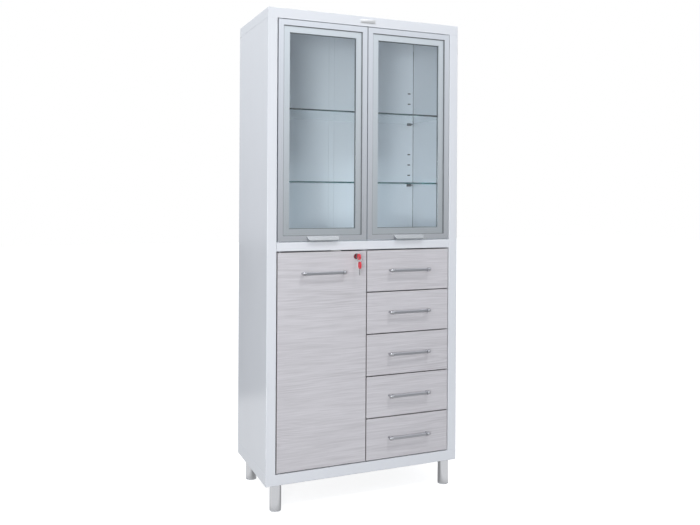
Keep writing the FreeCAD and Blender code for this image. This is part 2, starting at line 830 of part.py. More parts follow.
def glass_door(side):
    door = f"{side}_door"

    def hinge_x(inset):
        return mirror(side, f"door_outer_x - ({inset})")

    def free_x(inset):
        return mirror(side, f"door_inner_x + ({inset})")

    def upright(edge_x, start, end):
        return [
            (edge_x(start), f"glass_low_z + {start} + mitre_gap"),
            (edge_x(end), f"glass_low_z + {end} + mitre_gap"),
            (edge_x(end), f"glass_high_z - ({end}) - mitre_gap"),
            (edge_x(start), f"glass_high_z - ({start}) - mitre_gap")]

    def level(edge_z, start, end):
        return [
            (hinge_x(start), edge_z(start)), (free_x(start), edge_z(start)),
            (free_x(end), edge_z(end)), (hinge_x(end), edge_z(end))]

    def low_z(inset):
        return f"glass_low_z + {inset}"

    def high_z(inset):
        return f"glass_high_z - ({inset})"

    bands = (("0", "outer_band"), ("outer_band", "frame_width"))
    members = [
        frame_member(f"{door}_hinge_stile", [upright(hinge_x, *band) for band in bands]),
        frame_member(f"{door}_free_stile", [upright(free_x, *band) for band in bands]),
        frame_member(f"{door}_bottom_rail", [level(low_z, *band) for band in bands]),
        frame_member(f"{door}_top_rail", [level(high_z, *band) for band in bands])]
    bores = door_bushes(door, side, "glass_low_z", "glass_high_z")
    frame = group(f"{door}_members", members)
    node(cut(f"{door}_frame", frame, bores), f"{door}_frame")

    edge = "outer_band + pane_edge_gap"
    left, right = sorted((hinge_x(edge), free_x(edge)), key=number)
    pane_z = (low_z(edge), high_z(edge))
    pane = block(f"{door}_glass", (left, right), ("pane_y", "pane_back_y"), pane_z)
    node(pane, f"{door}_glass")

    bead_y = ("pane_back_y", "frame_back_y")
    inner_z = (f"{pane_z[0]} + bead_width", f"{pane_z[1]} - bead_width")
    beads = [
        block(f"{door}_bead_bottom", (left, right), bead_y, (pane_z[0], inner_z[0])),
        block(f"{door}_bead_top", (left, right), bead_y, (inner_z[1], pane_z[1])),
        block(f"{door}_bead_left", (left, f"{left} + bead_width"), bead_y, inner_z),
        block(f"{door}_bead_right", (f"{right} - bead_width", right), bead_y, inner_z)]
    node(group(f"{door}_bead", beads), f"{door}_bead")
    lip_pull(side)


def lip_pull(side):
    """Sloping lip on the door's bottom rail, with a finger gap behind it and bevelled ends."""
    name = f"{side}_door_pull"
    body = new_body(name)
    nose_y = "front_y - pull_reach"
    low = "glass_low_z + pull_bottom_gap"
    points = [
        ("front_y", "glass_low_z + pull_height"),
        (nose_y, f"{low} + pull_nose"),
        (nose_y, low),
        (f"{nose_y} + pull_gauge", low),
        (f"{nose_y} + pull_gauge", f"{low} + pull_nose - pull_gauge / 2"),
        ("front_y", "glass_low_z + pull_height - 1.5 * pull_gauge"),
    ]
    middle = f"({mirror(side, '(door_outer_x + door_inner_x) / 2')})"
    start = f"{middle} - pull_width / 2"
    end = f"{middle} + pull_width / 2"
    feature(body, "Pad", outline(body, "YZ_Plane", points, start), "pull_width")
    for corner, inward in ((start, "+"), (end, "-")):
        bevel = outline(
            body, "XY_Plane",
            [(corner, "front_y"), (corner, nose_y), (f"{corner} {inward} pull_end_bevel", nose_y)],
            "glass_low_z")
        feature(body, "Pocket", bevel, "pull_height", reverse=True)
    node(body, name)


def bar_handle(name, x, z):
    """Flattened bar between two domed knuckles, each on a leg, a little above the given height."""
    axis_y, axis_z = "front_y - handle_reach", f"{z} + handle_rise"
    bar = new_body(f"{name}_bar")
    half_length = "(handle_length / 2 - knuckle_length)"
    section = rectangle(bar, "YZ_Plane", ("-bar_depth / 2", "bar_depth / 2"),
                        ("-bar_height / 2", "bar_height / 2"), f"-{half_length}")
    pad = feature(bar, "Pad", section, f"2 * {half_length}")
    doc.recompute()
    corners = []
    for y in ("-bar_depth / 2", "bar_depth / 2"):
        for edge_z in ("-bar_height / 2", "bar_height / 2"):
            corners += edges_at(pad.Shape, y=y, z=edge_z)
    round_edges(bar, pad, corners, "bar_edge")
    place(bar, x, axis_y, axis_z)
    solids = [bar]
    for side, sign in SIDES.items():
        end = f"{sign} * handle_length / 2"
        knuckle = new_body(f"{name}_knuckle_{side}")
        face = circle(knuckle, "YZ_Plane", ("0", "0"), "knuckle_radius", end)
        pad = feature(knuckle, "Pad", face, "knuckle_length", reverse=sign > 0)
        doc.recompute()
        round_edges(knuckle, pad, edges_at(pad.Shape, x=end), "knuckle_edge")
        place(knuckle, x, axis_y, axis_z)
        middle = f"{x} + {sign} * (handle_length - knuckle_length) / 2"
        leg = rod(f"{name}_leg_{side}", "y", "handle_leg_radius", "handle_reach",
                  (middle, axis_y, axis_z))
        solids.append(join(f"{name}_end_{side}", [knuckle, leg]))
    node(group(name, solids), name)


def front_panel(name, x, z):
    """Laminated front with softened edges on its face."""
    body = new_body(name)
    pad = feature(body, "Pad", rectangle(body, "XZ_Plane", x, z, "-front_y"), "front_thickness",
                  reverse=True)
    doc.recompute()
    round_edges(body, pad, edges_at(pad.Shape, y="front_y"), "front_edge_radius")
    return body


def lower_door():
    door = "lower_door"
    panel = front_panel(
        f"{door}_blank", ("-front_outer_x", "-front_inner_x"), ("front_low_z", "front_high_z"))
    bores = door_bushes(door, "left", "front_low_z", "front_high_z")
    bores.append(rod("lock_hole", "y", "lock_barrel_radius + fit_clearance", "front_thickness",
                     ("lock_x", "front_y", "lock_z")))
    node(cut(f"{door}_panel", panel, bores), f"{door}_panel")
    bar_handle(f"{door}_handle", "-front_middle_x", "front_high_z - drawer_front_height / 2")


def lock():
    """Cam lock: housing and nut on the door, plug, cam and key that turn together."""
    axis = ("lock_x", "front_y", "lock_z")

    def disc(name, radius, start, end):
        return rod(name, "y", radius, f"({end}) - ({start})", (axis[0], start, axis[2]))

    flange_y = "front_y - lock_flange"
    barrel = join("lock_barrel", [
        disc("lock_flange_disc", "lock_flange_radius", flange_y, "front_y"),
        disc("lock_barrel_rod", "lock_barrel_radius", "front_y", "barrel_back_y")])
    bore = disc("lock_bore", "plug_radius + fit_clearance", flange_y, "barrel_back_y")
    housing = cut("lock_housing_body", barrel, [bore])
    nut_blank = doc.addObject("Part::Prism", "lock_nut_blank")
    nut_blank.Polygon = 6
    bind(nut_blank, "Circumradius", "lock_nut_across / 2")
    bind(nut_blank, "Height", "lock_nut_height")
    nut_blank.Placement = FreeCAD.Placement(FreeCAD.Vector(), ALONG["y"])
    place(nut_blank, "lock_x", "front_back_y", "lock_z")
    nut_hole = disc(
        "lock_nut_hole", "lock_barrel_radius + fit_clearance", "front_back_y",
        "front_back_y + lock_nut_height")
    nut = cut("lock_nut", nut_blank, [nut_hole])
    node(group("lock_housing", [housing, nut]), "lock_housing")

    plug = join("lock_plug_turned", [
        disc("plug_rod", "plug_radius", flange_y, "cam_y"),
        disc("plug_stub", "plug_stub_radius", "cam_y", "cam_back_y"),
        disc("plug_head", "plug_head_radius", "cam_back_y", "cam_back_y + plug_head_height")])
    half_way = "(blade_thickness / 2 + fit_clearance)"
    half_rise = "(blade_width / 2 + fit_clearance)"
    keyway = block(
        "keyway", (f"lock_x - {half_way}", f"lock_x + {half_way}"),
        (flange_y, f"{flange_y} + blade_length - key_shank + fit_clearance"),
        (f"lock_z - {half_rise}", f"lock_z + {half_rise}"))
    node(cut("lock_plug", plug, [keyway]), "lock_plug")

    cam = block("cam_plate", ("lock_x - cam_reach", "lock_x + cam_width / 2"), ("cam_y", "cam_back_y"),
                ("lock_z - cam_width / 2", "lock_z + cam_width / 2"))
    cam_hole = disc("cam_hole", "plug_stub_radius + fit_clearance", "cam_y", "cam_back_y")
    node(cut("lock_cam", cam, [cam_hole]), "lock_cam")


def key(name):
    """Key about its own ring hole: flat bow with rounded corners, and a blade along +Y."""
    body = new_body(name)
    far_y = "bow_length - bow_hole_edge"
    bow = rectangle(
        body, "YZ_Plane", ("-bow_hole_edge", far_y), ("-bow_height / 2", "bow_height / 2"),
        "-bow_thickness / 2")
    pad = feature(body, "Pad", bow, "bow_thickness")
    doc.recompute()
    corners = []
    for y in ("-bow_hole_edge", far_y):
        for z in ("-bow_height / 2", "bow_height / 2"):
            corners += edges_at(pad.Shape, y=y, z=z)
    round_edges(body, pad, corners, "bow_corner")
    hole = circle(body, "YZ_Plane", ("0", "0"), "bow_hole_radius", "-bow_thickness / 2")
    feature(body, "Pocket", hole, "bow_thickness", reverse=True)
    blade = rectangle(
        body, "YZ_Plane", (f"{far_y} - 1", f"{far_y} + blade_length"),
        ("-blade_width / 2", "blade_width / 2"), "-blade_thickness / 2")
    feature(body, "Pad", blade, "blade_thickness")
    return node(body, name)


def keys():
    place(key("lock_key"), "lock_x", "hole_y", "lock_z")
    spare = key("spare_key")
    spare.Placement = FreeCAD.Placement(FreeCAD.Vector(), ALONG["y"])
    place(spare, "lock_x", "hole_y", "lock_z - 2 * (ring_drop + ring_radius)")
    ring = doc.addObject("Part::Torus", "key_ring")
    bind(ring, "Radius1", "ring_radius")
    bind(ring, "Radius2", "ring_wire_radius")
    ring.Placement = FreeCAD.Placement(FreeCAD.Vector(), ALONG["y"])
    place(ring, "lock_x", "hole_y", "lock_z - ring_drop - ring_radius")
    node(ring, "key_ring")


def magnetic_catches():
    catches = []
    for side in SIDES:
        middle = mirror(side, "catch_inset")
        catches.append(block(
            f"catch_{side}", (f"{middle} - catch_width / 2", f"{middle} + catch_width / 2"),
            ("frame_back_y + catch_gap", "frame_back_y + catch_gap + catch_depth"),
            ("cap_low_z - catch_height", "cap_low_z")))
    far = "lock_x - cam_reach - catch_width"
    catches.append(block(
        "catch_lower", (f"{far} - catch_width / 2", f"{far} + catch_width / 2"),
        ("front_back_y + catch_gap", "front_back_y + catch_gap + catch_depth"),
        ("rail_low_z - catch_height", "rail_low_z")))
    node(group("magnetic_catches", catches), "magnetic_catches")


def channel(name, web, tip, half_height):
    """Slide channel about its own middle line, along +Y: a web at one x and lips that reach to another."""
    body = new_body(name)
    inward = "+" if number(tip) > number(web) else "-"
    inner_web = f"{web} {inward} slide_gauge"
    inner_half = f"({half_height} - slide_gauge)"
    points = [
        (web, f"-{half_height}"), (tip, f"-{half_height}"), (tip, f"-{inner_half}"),
        (inner_web, f"-{inner_half}"), (inner_web, inner_half), (tip, inner_half),
        (tip, half_height), (web, half_height)]
    feature(body, "Pad", outline(body, "XZ_Plane", points), "slide_length", reverse=True)
    return body


def drawer(index, outer_channels):
    """Drawer number index, counted from the top: front, handle, box, and a slide on each side."""
    name = f"drawer_{index}"
    low = f"front_low_z + {DRAWER_COUNT - index} * drawer_pitch"
    node(front_panel(f"{name}_front", ("front_inner_x", "front_outer_x"),
                     (low, f"{low} + drawer_front_height")), f"{name}_front")
    bar_handle(f"{name}_handle", "front_middle_x", f"{low} + drawer_front_height / 2")

    box = new_body(f"{name}_box")
    box_y = ("front_back_y", "front_back_y + box_length")
    outside = rectangle(box, "XY_Plane", ("box_left_x", "box_right_x"), box_y)
    feature(box, "Pad", outside, "box_height")
    inside = rectangle(
        box, "XY_Plane", ("box_left_x + sheet", "box_right_x - sheet"),
        (f"{box_y[0]} + sheet", f"{box_y[1]} - sheet"), "box_height")
    feature(box, "Pocket", inside, "box_height - sheet")
    place(box, "0", "0", f"{low} + box_lift")
    node(box, f"{name}_box")

    inner_half = "(slide_height / 2 - slide_gauge - slide_gap)"
    inner_tip = "2 * slide_gauge"
    inner_channels = []
    for side, wall, sign in (("left", "partition_x", "1"), ("right", "opening_x", "-1")):
        outer = channel(f"{name}_slide_outer_{side}", "0", f"{sign} * slide_depth",
                        "(slide_height / 2)")
        inner = channel(f"{name}_slide_inner_{side}", f"{sign} * slide_space", f"{sign} * {inner_tip}",
                        inner_half)
        for member in (outer, inner):
            place(member, wall, "partition_y", f"{low} + slide_level")
        outer_channels.append(outer)
        inner_channels.append(inner)
    node(group(f"{name}_slide", inner_channels), f"{name}_slide")


def legs():
    tubes, glides = [], []
    inner = "leg_radius - leg_wall"
    for name, x, y in leg_places():
        tube = new_body(f"leg_{name}")
        points = [
            ("leg_bolt_radius + fit_clearance", "leg_height"),
            ("leg_radius", "leg_height"),
            ("leg_radius", "glide_height"),
            (inner, "glide_height"),
            (inner, "leg_height - leg_cap"),
            ("leg_bolt_radius + fit_clearance", "leg_height - leg_cap")]
        revolve(tube, outline(tube, "XZ_Plane", points))
        place(tube, x, y, "0")
        tubes.append(tube)
        foot = rod(f"glide_{name}_foot", "z", "leg_radius", "glide_height", (x, y, "0"))
        spigot = rod(f"glide_{name}_spigot", "z", f"{inner} - fit_clearance", "glide_height + glide_spigot",
                     (x, y, "0"))
        glides.append(join(f"glide_{name}", [foot, spigot]))
    node(group("legs", tubes), "legs")
    node(group("leg_glides", glides), "leg_glides")


def carcass_screws():
    """Screws through the rear flanges, and the bolts that hold the legs."""
    screws = []
    for side in SIDES:
        for index, level in enumerate(SCREW_LEVELS):
            x = mirror(side, "screw_x")
            screws.append(join(f"back_screw_{side}_{index}", [
                rod(f"back_screw_{side}_{index}_shank", "y", "screw_radius", "screw_length",
                    (x, "back_y - screw_length", level)),
                rod(f"back_screw_{side}_{index}_head", "y", "screw_head_radius", "screw_head_height",
                    (x, "back_y", level))]))
    for name, x, y in leg_places():
        seat = "leg_height + sheet"
        screws.append(join(f"leg_bolt_{name}", [
            rod(f"leg_bolt_{name}_shank", "z", "leg_bolt_radius", "leg_bolt_length",
                (x, y, f"{seat} - leg_bolt_length")),
            rod(f"leg_bolt_{name}_head", "z", "leg_bolt_head_radius", "leg_bolt_head_height",
                (x, y, seat))]))
    node(group("carcass_screws", screws), "carcass_screws")


def build():
    for side in SIDES:
        side_panel(side)
        back_panel(side)
    back_center_channel()
    top_cap()
    base()
    mid_deck()
    lower_partition()
    drawer_liner()
    glass_shelves()
    lower_shelf()
    shelf_clips()
    pivot_pins()
    magnetic_catches()
    for side in SIDES:
        glass_door(side)
    lower_door()
    lock()
    keys()
    outer_channels = []
    for index in range(1, DRAWER_COUNT + 1):
        drawer(index, outer_channels)
    node(group("slide_outer_members", outer_channels), "slide_outer_members")
    legs()
    carcass_screws()
    doc.recompute()


def check():
    """Stops if any step failed or any piece isn't sound."""
    failed = [item.Name for item in doc.Objects if {"Invalid", "Error"} & set(item.State)]
    if failed:
        raise RuntimeError(f"failed: {failed}")
    for piece in nodes:
        if piece.Shape.isNull() or not piece.Shape.isValid() or not piece.Shape.Solids:
            raise RuntimeError(f"not a sound solid: {piece.Label}")


def write():
    os.makedirs("parts", exist_ok=True)
    for piece in nodes:
        piece.Shape.exportStep(f"parts/{piece.Label}.step")
        print(piece.Label, len(piece.Shape.Solids), round(piece.Shape.Volume / 1000, 1), "cm3")
    print(len(nodes), "pieces")


sheet = fill_sheet()
build()
check()
write()
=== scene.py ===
import logging
import math
from dataclasses import dataclass, field
from enum import Enum
from typing import Callable, Iterable

import bpy
from mathutils import Matrix, Vector


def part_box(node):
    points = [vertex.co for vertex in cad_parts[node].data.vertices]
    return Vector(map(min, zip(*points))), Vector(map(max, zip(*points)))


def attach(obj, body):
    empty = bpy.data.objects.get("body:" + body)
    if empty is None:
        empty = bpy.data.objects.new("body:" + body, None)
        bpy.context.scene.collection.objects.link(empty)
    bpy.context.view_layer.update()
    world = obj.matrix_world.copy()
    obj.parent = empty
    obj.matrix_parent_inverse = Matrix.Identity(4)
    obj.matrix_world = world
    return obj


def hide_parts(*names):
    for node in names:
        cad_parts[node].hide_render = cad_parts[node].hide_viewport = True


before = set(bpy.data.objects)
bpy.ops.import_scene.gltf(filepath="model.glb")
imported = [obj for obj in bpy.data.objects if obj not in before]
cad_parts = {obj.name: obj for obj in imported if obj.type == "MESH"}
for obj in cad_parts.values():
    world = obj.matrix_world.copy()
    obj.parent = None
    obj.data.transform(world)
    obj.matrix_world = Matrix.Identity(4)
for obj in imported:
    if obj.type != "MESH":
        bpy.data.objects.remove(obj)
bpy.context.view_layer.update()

LOG = logging.getLogger("medicine_cabinet")
MM = 0.001
DRAWER_COUNT = 5

Triple = tuple[float, float, float]
Colour = Triple
Range = tuple[float, float]

# Metres below which two places count as one, and the share of a normal that counts as facing an axis
NEAR = 1e-6
FACING = 0.9

# Spans that most values of the skin's noise and of the lines' noise lie in
SKIN_SPAN: Range = (0.3, 0.7)
LINE_SPAN: Range = (0.25, 0.75)


def dimmed(colour: Colour, share: float) -> Colour:
    """Darkens a colour.

    Args:
        colour: The colour.
        share: Share of its light that is kept.

    Returns:
        The darker colour.
    """
    return tuple(part * share for part in colour)


class Element(Enum):
    """What a pick on a mesh is made of."""

    VERTEX = "vertices"
    EDGE = "edges"
    FACE = "polygons"


class Side(Enum):
    """Side of the cabinet, as seen from the front."""

    LEFT = "left"
    RIGHT = "right"


# Node wiring


class Wiring:
    """Adds nodes to one node tree and joins their sockets."""

    def __init__(self, tree: bpy.types.NodeTree) -> None:
        """Keeps the tree to work on.

        Args:
            tree: Node tree of a material, a world or a group.
        """
        self.tree = tree

    def add(self, kind: str, inputs: dict | None = None, **settings: object) -> bpy.types.Node:
        """Adds a node.

        Args:
            kind: Node type without the ShaderNode prefix.
            inputs: Input name or number to a plain value or to the socket that feeds it.
            settings: Properties of the node.

        Returns:
            The new node.
        """
        node = self.tree.nodes.new(f"ShaderNode{kind}")
        for name, value in settings.items():
            setattr(node, name, value)
        for key, value in (inputs or {}).items():
            if isinstance(value, bpy.types.NodeSocket):
                self.tree.links.new(value, node.inputs[key])
            else:
                node.inputs[key].default_value = value
        return node

    def math(self, operation: str, *terms: object) -> bpy.types.NodeSocket:
        """Works on numbers.

        Args:
            operation: Operation of the Math node.
            terms: Plain numbers or sockets.

        Returns:
            The result's socket.
        """
        return self.add("Math", dict(enumerate(terms)), operation=operation).outputs[0]

    def ranged(self, value: bpy.types.NodeSocket, source: Range, target: Range) -> bpy.types.NodeSocket:
        """Maps a value from one range to another, clamped.

        Args:
            value: The value's socket.
            source: Lowest and highest value that come in.
            target: Values that these turn into.

        Returns:
            The mapped value's socket.
        """
        node = self.add("MapRange", {0: value, 1: source[0], 2: source[1], 3: target[0], 4: target[1]})
        return node.outputs[0]

    def blend(self, share: object, first: object, second: object) -> bpy.types.NodeSocket:
        """Mixes two colours.

        Args:
            share: Share of the second colour, a number or a socket.
            first: Colour or socket at a share of 0.
            second: Colour or socket at a share of 1.

        Returns:
            The mixed colour's socket.
        """
        colours = [(*c, 1.0) if isinstance(c, tuple) else c for c in (first, second)]
        node = self.add("Mix", {0: share, 6: colours[0], 7: colours[1]}, data_type="RGBA")
        return node.outputs[2]

    def place(self) -> bpy.types.NodeSocket:
        """Returns the socket of the object's own coordinates."""
        return self.add("TexCoord").outputs["Object"]

    def stretched_noise(
            self, scale: Triple, detail: float, roughness: float = 0.55) -> bpy.types.NodeSocket:
        """Adds noise that is drawn out along some axes.

        Args:
            scale: Noise scale along X, Y and Z, per metre.
            detail: Octaves of the noise.
            roughness: Weight of the finer octaves.

        Returns:
            The noise value's socket.
        """
        spread = self.add("Mapping", {"Vector": self.place(), "Scale": scale})
        noise = self.add(
            "TexNoise",
            {"Vector": spread.outputs[0], "Scale": 1.0, "Detail": detail, "Roughness": roughness})
        return noise.outputs[0]

    def bump(self, height: bpy.types.NodeSocket, strength: float, distance: float) -> bpy.types.NodeSocket:
        """Turns a height into a normal.

        Args:
            height: Height's socket.
            strength: Strength of the bump.
            distance: Depth of the bump in metres.

        Returns:
            The normal's socket.
        """
        node = self.add("Bump", {"Strength": strength, "Distance": distance, "Height": height})
        return node.outputs[0]


class Effect:
    """Shader node groups for surface effects that several finishes share."""

    @staticmethod
    def _group(name: str, takes: dict[str, float], gives: Iterable[str]) -> tuple[Wiring, dict, dict]:
        """Starts a group with number sockets.

        Args:
            name: The group's name.
            takes: Input names with their usual values.
            gives: Output names.

        Returns:
            The wiring, the sockets inside that bring the inputs, and those that take the outputs.
        """
        tree = bpy.data.node_groups.new(name, "ShaderNodeTree")
        for title, usual in takes.items():
            socket = tree.interface.new_socket(title, in_out="INPUT", socket_type="NodeSocketFloat")
            socket.default_value = usual
        for title in gives:
            tree.interface.new_socket(title, in_out="OUTPUT", socket_type="NodeSocketFloat")
        entry = tree.nodes.new("NodeGroupInput")
        leave = tree.nodes.new("NodeGroupOutput")
        return Wiring(tree), {s.name: s for s in entry.outputs}, {s.name: s for s in leave.inputs}

    @classmethod
    def _skin(cls) -> bpy.types.NodeTree:
        """Returns the fine pebbled skin of sprayed or moulded surfaces, with slow patches."""
        known = bpy.data.node_groups.get("pebbled_skin")
        if known:
            return known
        takes = {"Grain": 420.0, "Patch": 5.0}
        wiring, entry, leave = cls._group("pebbled_skin", takes, ("Height", "Patches"))
        place = wiring.place()
        grain = wiring.add("TexNoise", {"Vector": place, "Scale": entry["Grain"], "Detail": 2.0})
        patch = wiring.add("TexNoise", {"Vector": place, "Scale": entry["Patch"], "Detail": 3.0})
        wiring.tree.links.new(grain.outputs[0], leave["Height"])
        wiring.tree.links.new(patch.outputs[0], leave["Patches"])
        return wiring.tree

    @classmethod
    def _lines(cls) -> bpy.types.NodeTree:
        """Returns the fine parallel lines of drawn or brushed metal."""
        known = bpy.data.node_groups.get("drawn_lines")
        if known:
            return known
        takes = {"Per Metre X": 4.0, "Per Metre Y": 900.0, "Per Metre Z": 900.0}
        wiring, entry, leave = cls._group("drawn_lines", takes, ("Lines",))
        axes = wiring.add("SeparateXYZ", {0: wiring.place()})
        drawn = [
            wiring.math("MULTIPLY", place, entry[f"Per Metre {axis}"])
            for place, axis in zip(axes.outputs, "XYZ")]
        spread = wiring.add("CombineXYZ", dict(enumerate(drawn)))
        noise = wiring.add("TexNoise", {"Vector": spread.outputs[0], "Scale": 1.0, "Detail": 3.0})
        wiring.tree.links.new(noise.outputs[0], leave["Lines"])
        return wiring.tree

    @classmethod
    def skin(
            cls, wiring: Wiring, grain: float,
            patch: float) -> tuple[bpy.types.NodeSocket, bpy.types.NodeSocket]:
        """Places the pebbled skin in a material.

        Args:
            wiring: The material's wiring.
            grain: Pebbles per metre.
            patch: Slow patches per metre.

        Returns:
            Sockets of the height and of the patches.
        """
        node = wiring.add("Group", node_tree=cls._skin())
        node.inputs["Grain"].default_value = grain
        node.inputs["Patch"].default_value = patch
        return node.outputs["Height"], node.outputs["Patches"]

    @classmethod
    def lines(cls, wiring: Wiring, per_metre: Triple) -> bpy.types.NodeSocket:
        """Places the drawn lines in a material.

        Args:
            wiring: The material's wiring.
            per_metre: Line count per metre along X, Y and Z; the lines run along the smallest.

        Returns:
            Socket of the lines' value.
        """
        node = wiring.add("Group", node_tree=cls._lines())
        for axis, count in zip("XYZ", per_metre):
            node.inputs[f"Per Metre {axis}"].default_value = count
        return node.outputs["Lines"]


# Finishes


@dataclass(frozen=True)
class Finish:
    """A surface finish, made into a material when it is first asked for."""

    name: str

    def material(self) -> bpy.types.Material:
        """Returns the finish's material."""
        known = bpy.data.materials.get(self.name)
        if known:
            return known
        made = bpy.data.materials.new(self.name)
        made.use_nodes = True
        made.node_tree.nodes.clear()
        wiring = Wiring(made.node_tree)
        wiring.add("OutputMaterial", {"Surface": self.surface(wiring)})
        return made

    def surface(self, wiring: Wiring) -> bpy.types.NodeSocket:
        """Builds the shader.

        Args:
            wiring: The material's wiring.

        Returns:
            The shader's socket.
        """
        raise NotImplementedError


@dataclass(frozen=True)
class PowderCoat(Finish):
    """Semi-gloss baked powder paint with a faint orange-peel skin."""

    colour: Colour = (0.79, 0.81, 0.85)
    roughness: Range = (0.15, 0.21)
    dull: float = 0.965

    def paint(self, wiring: Wiring, patches: bpy.types.NodeSocket) -> bpy.types.NodeSocket:
        """Builds the paint's colour.

        Args:
            wiring: The material's wiring.
            patches: Socket of the skin's slow patches.

        Returns:
            The colour's socket.
        """
        return wiring.blend(patches, dimmed(self.colour, self.dull), self.colour)

    def surface(self, wiring: Wiring) -> bpy.types.NodeSocket:
        """Builds the paint; see Finish.surface."""
        height, patches = Effect.skin(wiring, grain=380.0, patch=4.0)
        shader = wiring.add("BsdfPrincipled", {
            "Base Color": self.paint(wiring, patches),
            "Roughness": wiring.ranged(patches, SKIN_SPAN, self.roughness),
            "Specular IOR Level": 0.5,
            "Normal": wiring.bump(height, strength=0.06, distance=0.0002)})
        return shader.outputs[0]


@dataclass(frozen=True)
class PostCoat(PowderCoat):
    """Powder paint with painted shade: near black inside the rear posts, where shade falls."""

    # Painted shade: near-black colour that stands in for the shade inside the posts.
    painted_post_shade: Colour = (0.05, 0.052, 0.055)
    skin: float = 0.6 * MM
    post_width: float = 34.2 * MM

    def paint(self, wiring: Wiring, patches: bpy.types.NodeSocket) -> bpy.types.NodeSocket:
        """Builds the paint's colour with painted shade, near black, inside the posts; see
        PowderCoat.paint.
        """
        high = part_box("side_panel_right")[1]
        web_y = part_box("back_panel_right")[0].y
        axes = wiring.add("SeparateXYZ", {0: wiring.place()})
        behind = wiring.math("GREATER_THAN", axes.outputs[1], web_y + self.skin)
        inside = wiring.math("LESS_THAN", axes.outputs[1], high.y - self.skin)
        across = wiring.math("ABSOLUTE", axes.outputs[0])
        within = wiring.math("LESS_THAN", across, high.x - self.skin)
        beyond = wiring.math("GREATER_THAN", across, high.x - self.post_width)
        # Painted shade mask (bare): the inside of the rear posts, behind the back web and within the side
        # skin.
        bare = wiring.math(
            "MULTIPLY", wiring.math("MULTIPLY", behind, inside), wiring.math("MULTIPLY", within, beyond))
        return wiring.blend(bare, super().paint(wiring, patches), self.painted_post_shade)


@dataclass(frozen=True)
class DoorAluminium(Finish):
    """Satin anodised frame bars, with drawn lines that follow each bar to its mitre, and painted shade:
    the recessed inner band is coloured darker and greener than the raised outer band.
    """

    frame_node: str = "right_door_frame"
    colour: Colour = (0.752, 0.78, 0.826)
    # Painted shade: darker, greener copy of the metal for the recessed inner band.
    recess_shade_colour: Colour = (0.70, 0.75, 0.785)
    step: float = 3.5 * MM
    roughness: Range = (0.26, 0.36)
    dull: float = 0.93

    def surface(self, wiring: Wiring) -> bpy.types.NodeSocket:
        """Builds the metal; see Finish.surface."""
        low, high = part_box(self.frame_node)
        axes = wiring.add("SeparateXYZ", {0: wiring.place()})
        across = wiring.math("ABSOLUTE", axes.outputs[0])
        up = axes.outputs[2]
        near_x, far_x = sorted((abs(low.x), abs(high.x)))
        to_side = wiring.math(
            "MINIMUM", wiring.math("SUBTRACT", across, near_x), wiring.math("SUBTRACT", far_x, across))
        to_end = wiring.math(
            "MINIMUM", wiring.math("SUBTRACT", up, low.z), wiring.math("SUBTRACT", high.z, up))
        is_rail = wiring.math("LESS_THAN", to_end, to_side)
        along_stile = Effect.lines(wiring, per_metre=(1400.0, 1400.0, 5.0))
        along_rail = Effect.lines(wiring, per_metre=(5.0, 1400.0, 1400.0))
        lines = wiring.add("Mix", {0: is_rail, 2: along_stile, 3: along_rail}).outputs[0]
        # Painted shade mask: the faces that lie more than the step behind the front.
        inner = wiring.math("GREATER_THAN", axes.outputs[1], low.y + self.step)
        bright = wiring.blend(inner, self.colour, self.recess_shade_colour)
        dark = wiring.blend(
            inner, dimmed(self.colour, self.dull), dimmed(self.recess_shade_colour, self.dull))
        shader = wiring.add("BsdfPrincipled", {
            "Base Color": wiring.blend(lines, dark, bright),
            "Metallic": 1.0,
            "Roughness": wiring.ranged(lines, LINE_SPAN, self.roughness),
            "Normal": wiring.bump(lines, strength=0.06, distance=0.0001)})
        return shader.outputs[0]


@dataclass(frozen=True)
class FloatGlass(Finish):
    """Clear float glass with a cool tint and a deeper tint at its cut edges."""

    tint: Colour = (0.935, 0.985, 1.0)
    edge: Colour = (0.05, 0.18, 0.19)
    cut_edge: bool = False
    level: float = 0.5

    def surface(self, wiring: Wiring) -> bpy.types.NodeSocket:
        """Builds the glass; lamps reach through it. See Finish.surface."""
        shader = wiring.add("BsdfPrincipled", {
            "Base Color": (*self.tint, 1.0), "Roughness": 0.0, "IOR": 1.45, "Transmission Weight": 1.0})
        if self.cut_edge:
            facing = wiring.add("SeparateXYZ", {0: wiring.add("NewGeometry").outputs["True Normal"]})
            flat = wiring.math("GREATER_THAN", wiring.math("ABSOLUTE", facing.outputs[2]), self.level)
            wiring.tree.links.new(wiring.blend(flat, self.edge, self.tint), shader.inputs["Base Color"])
        rays = wiring.add("LightPath")
        passing = wiring.math("MAXIMUM", rays.outputs["Is Shadow Ray"], rays.outputs["Is Diffuse Ray"])
        one_face = tuple(math.sqrt(c) for c in self.tint)
        through = wiring.add("BsdfTransparent", {"Color": (*one_face, 1.0)})
        mixed = wiring.add("MixShader", {0: passing, 1: shader.outputs[0], 2: through.outputs[0]})
        return mixed.outputs[0]


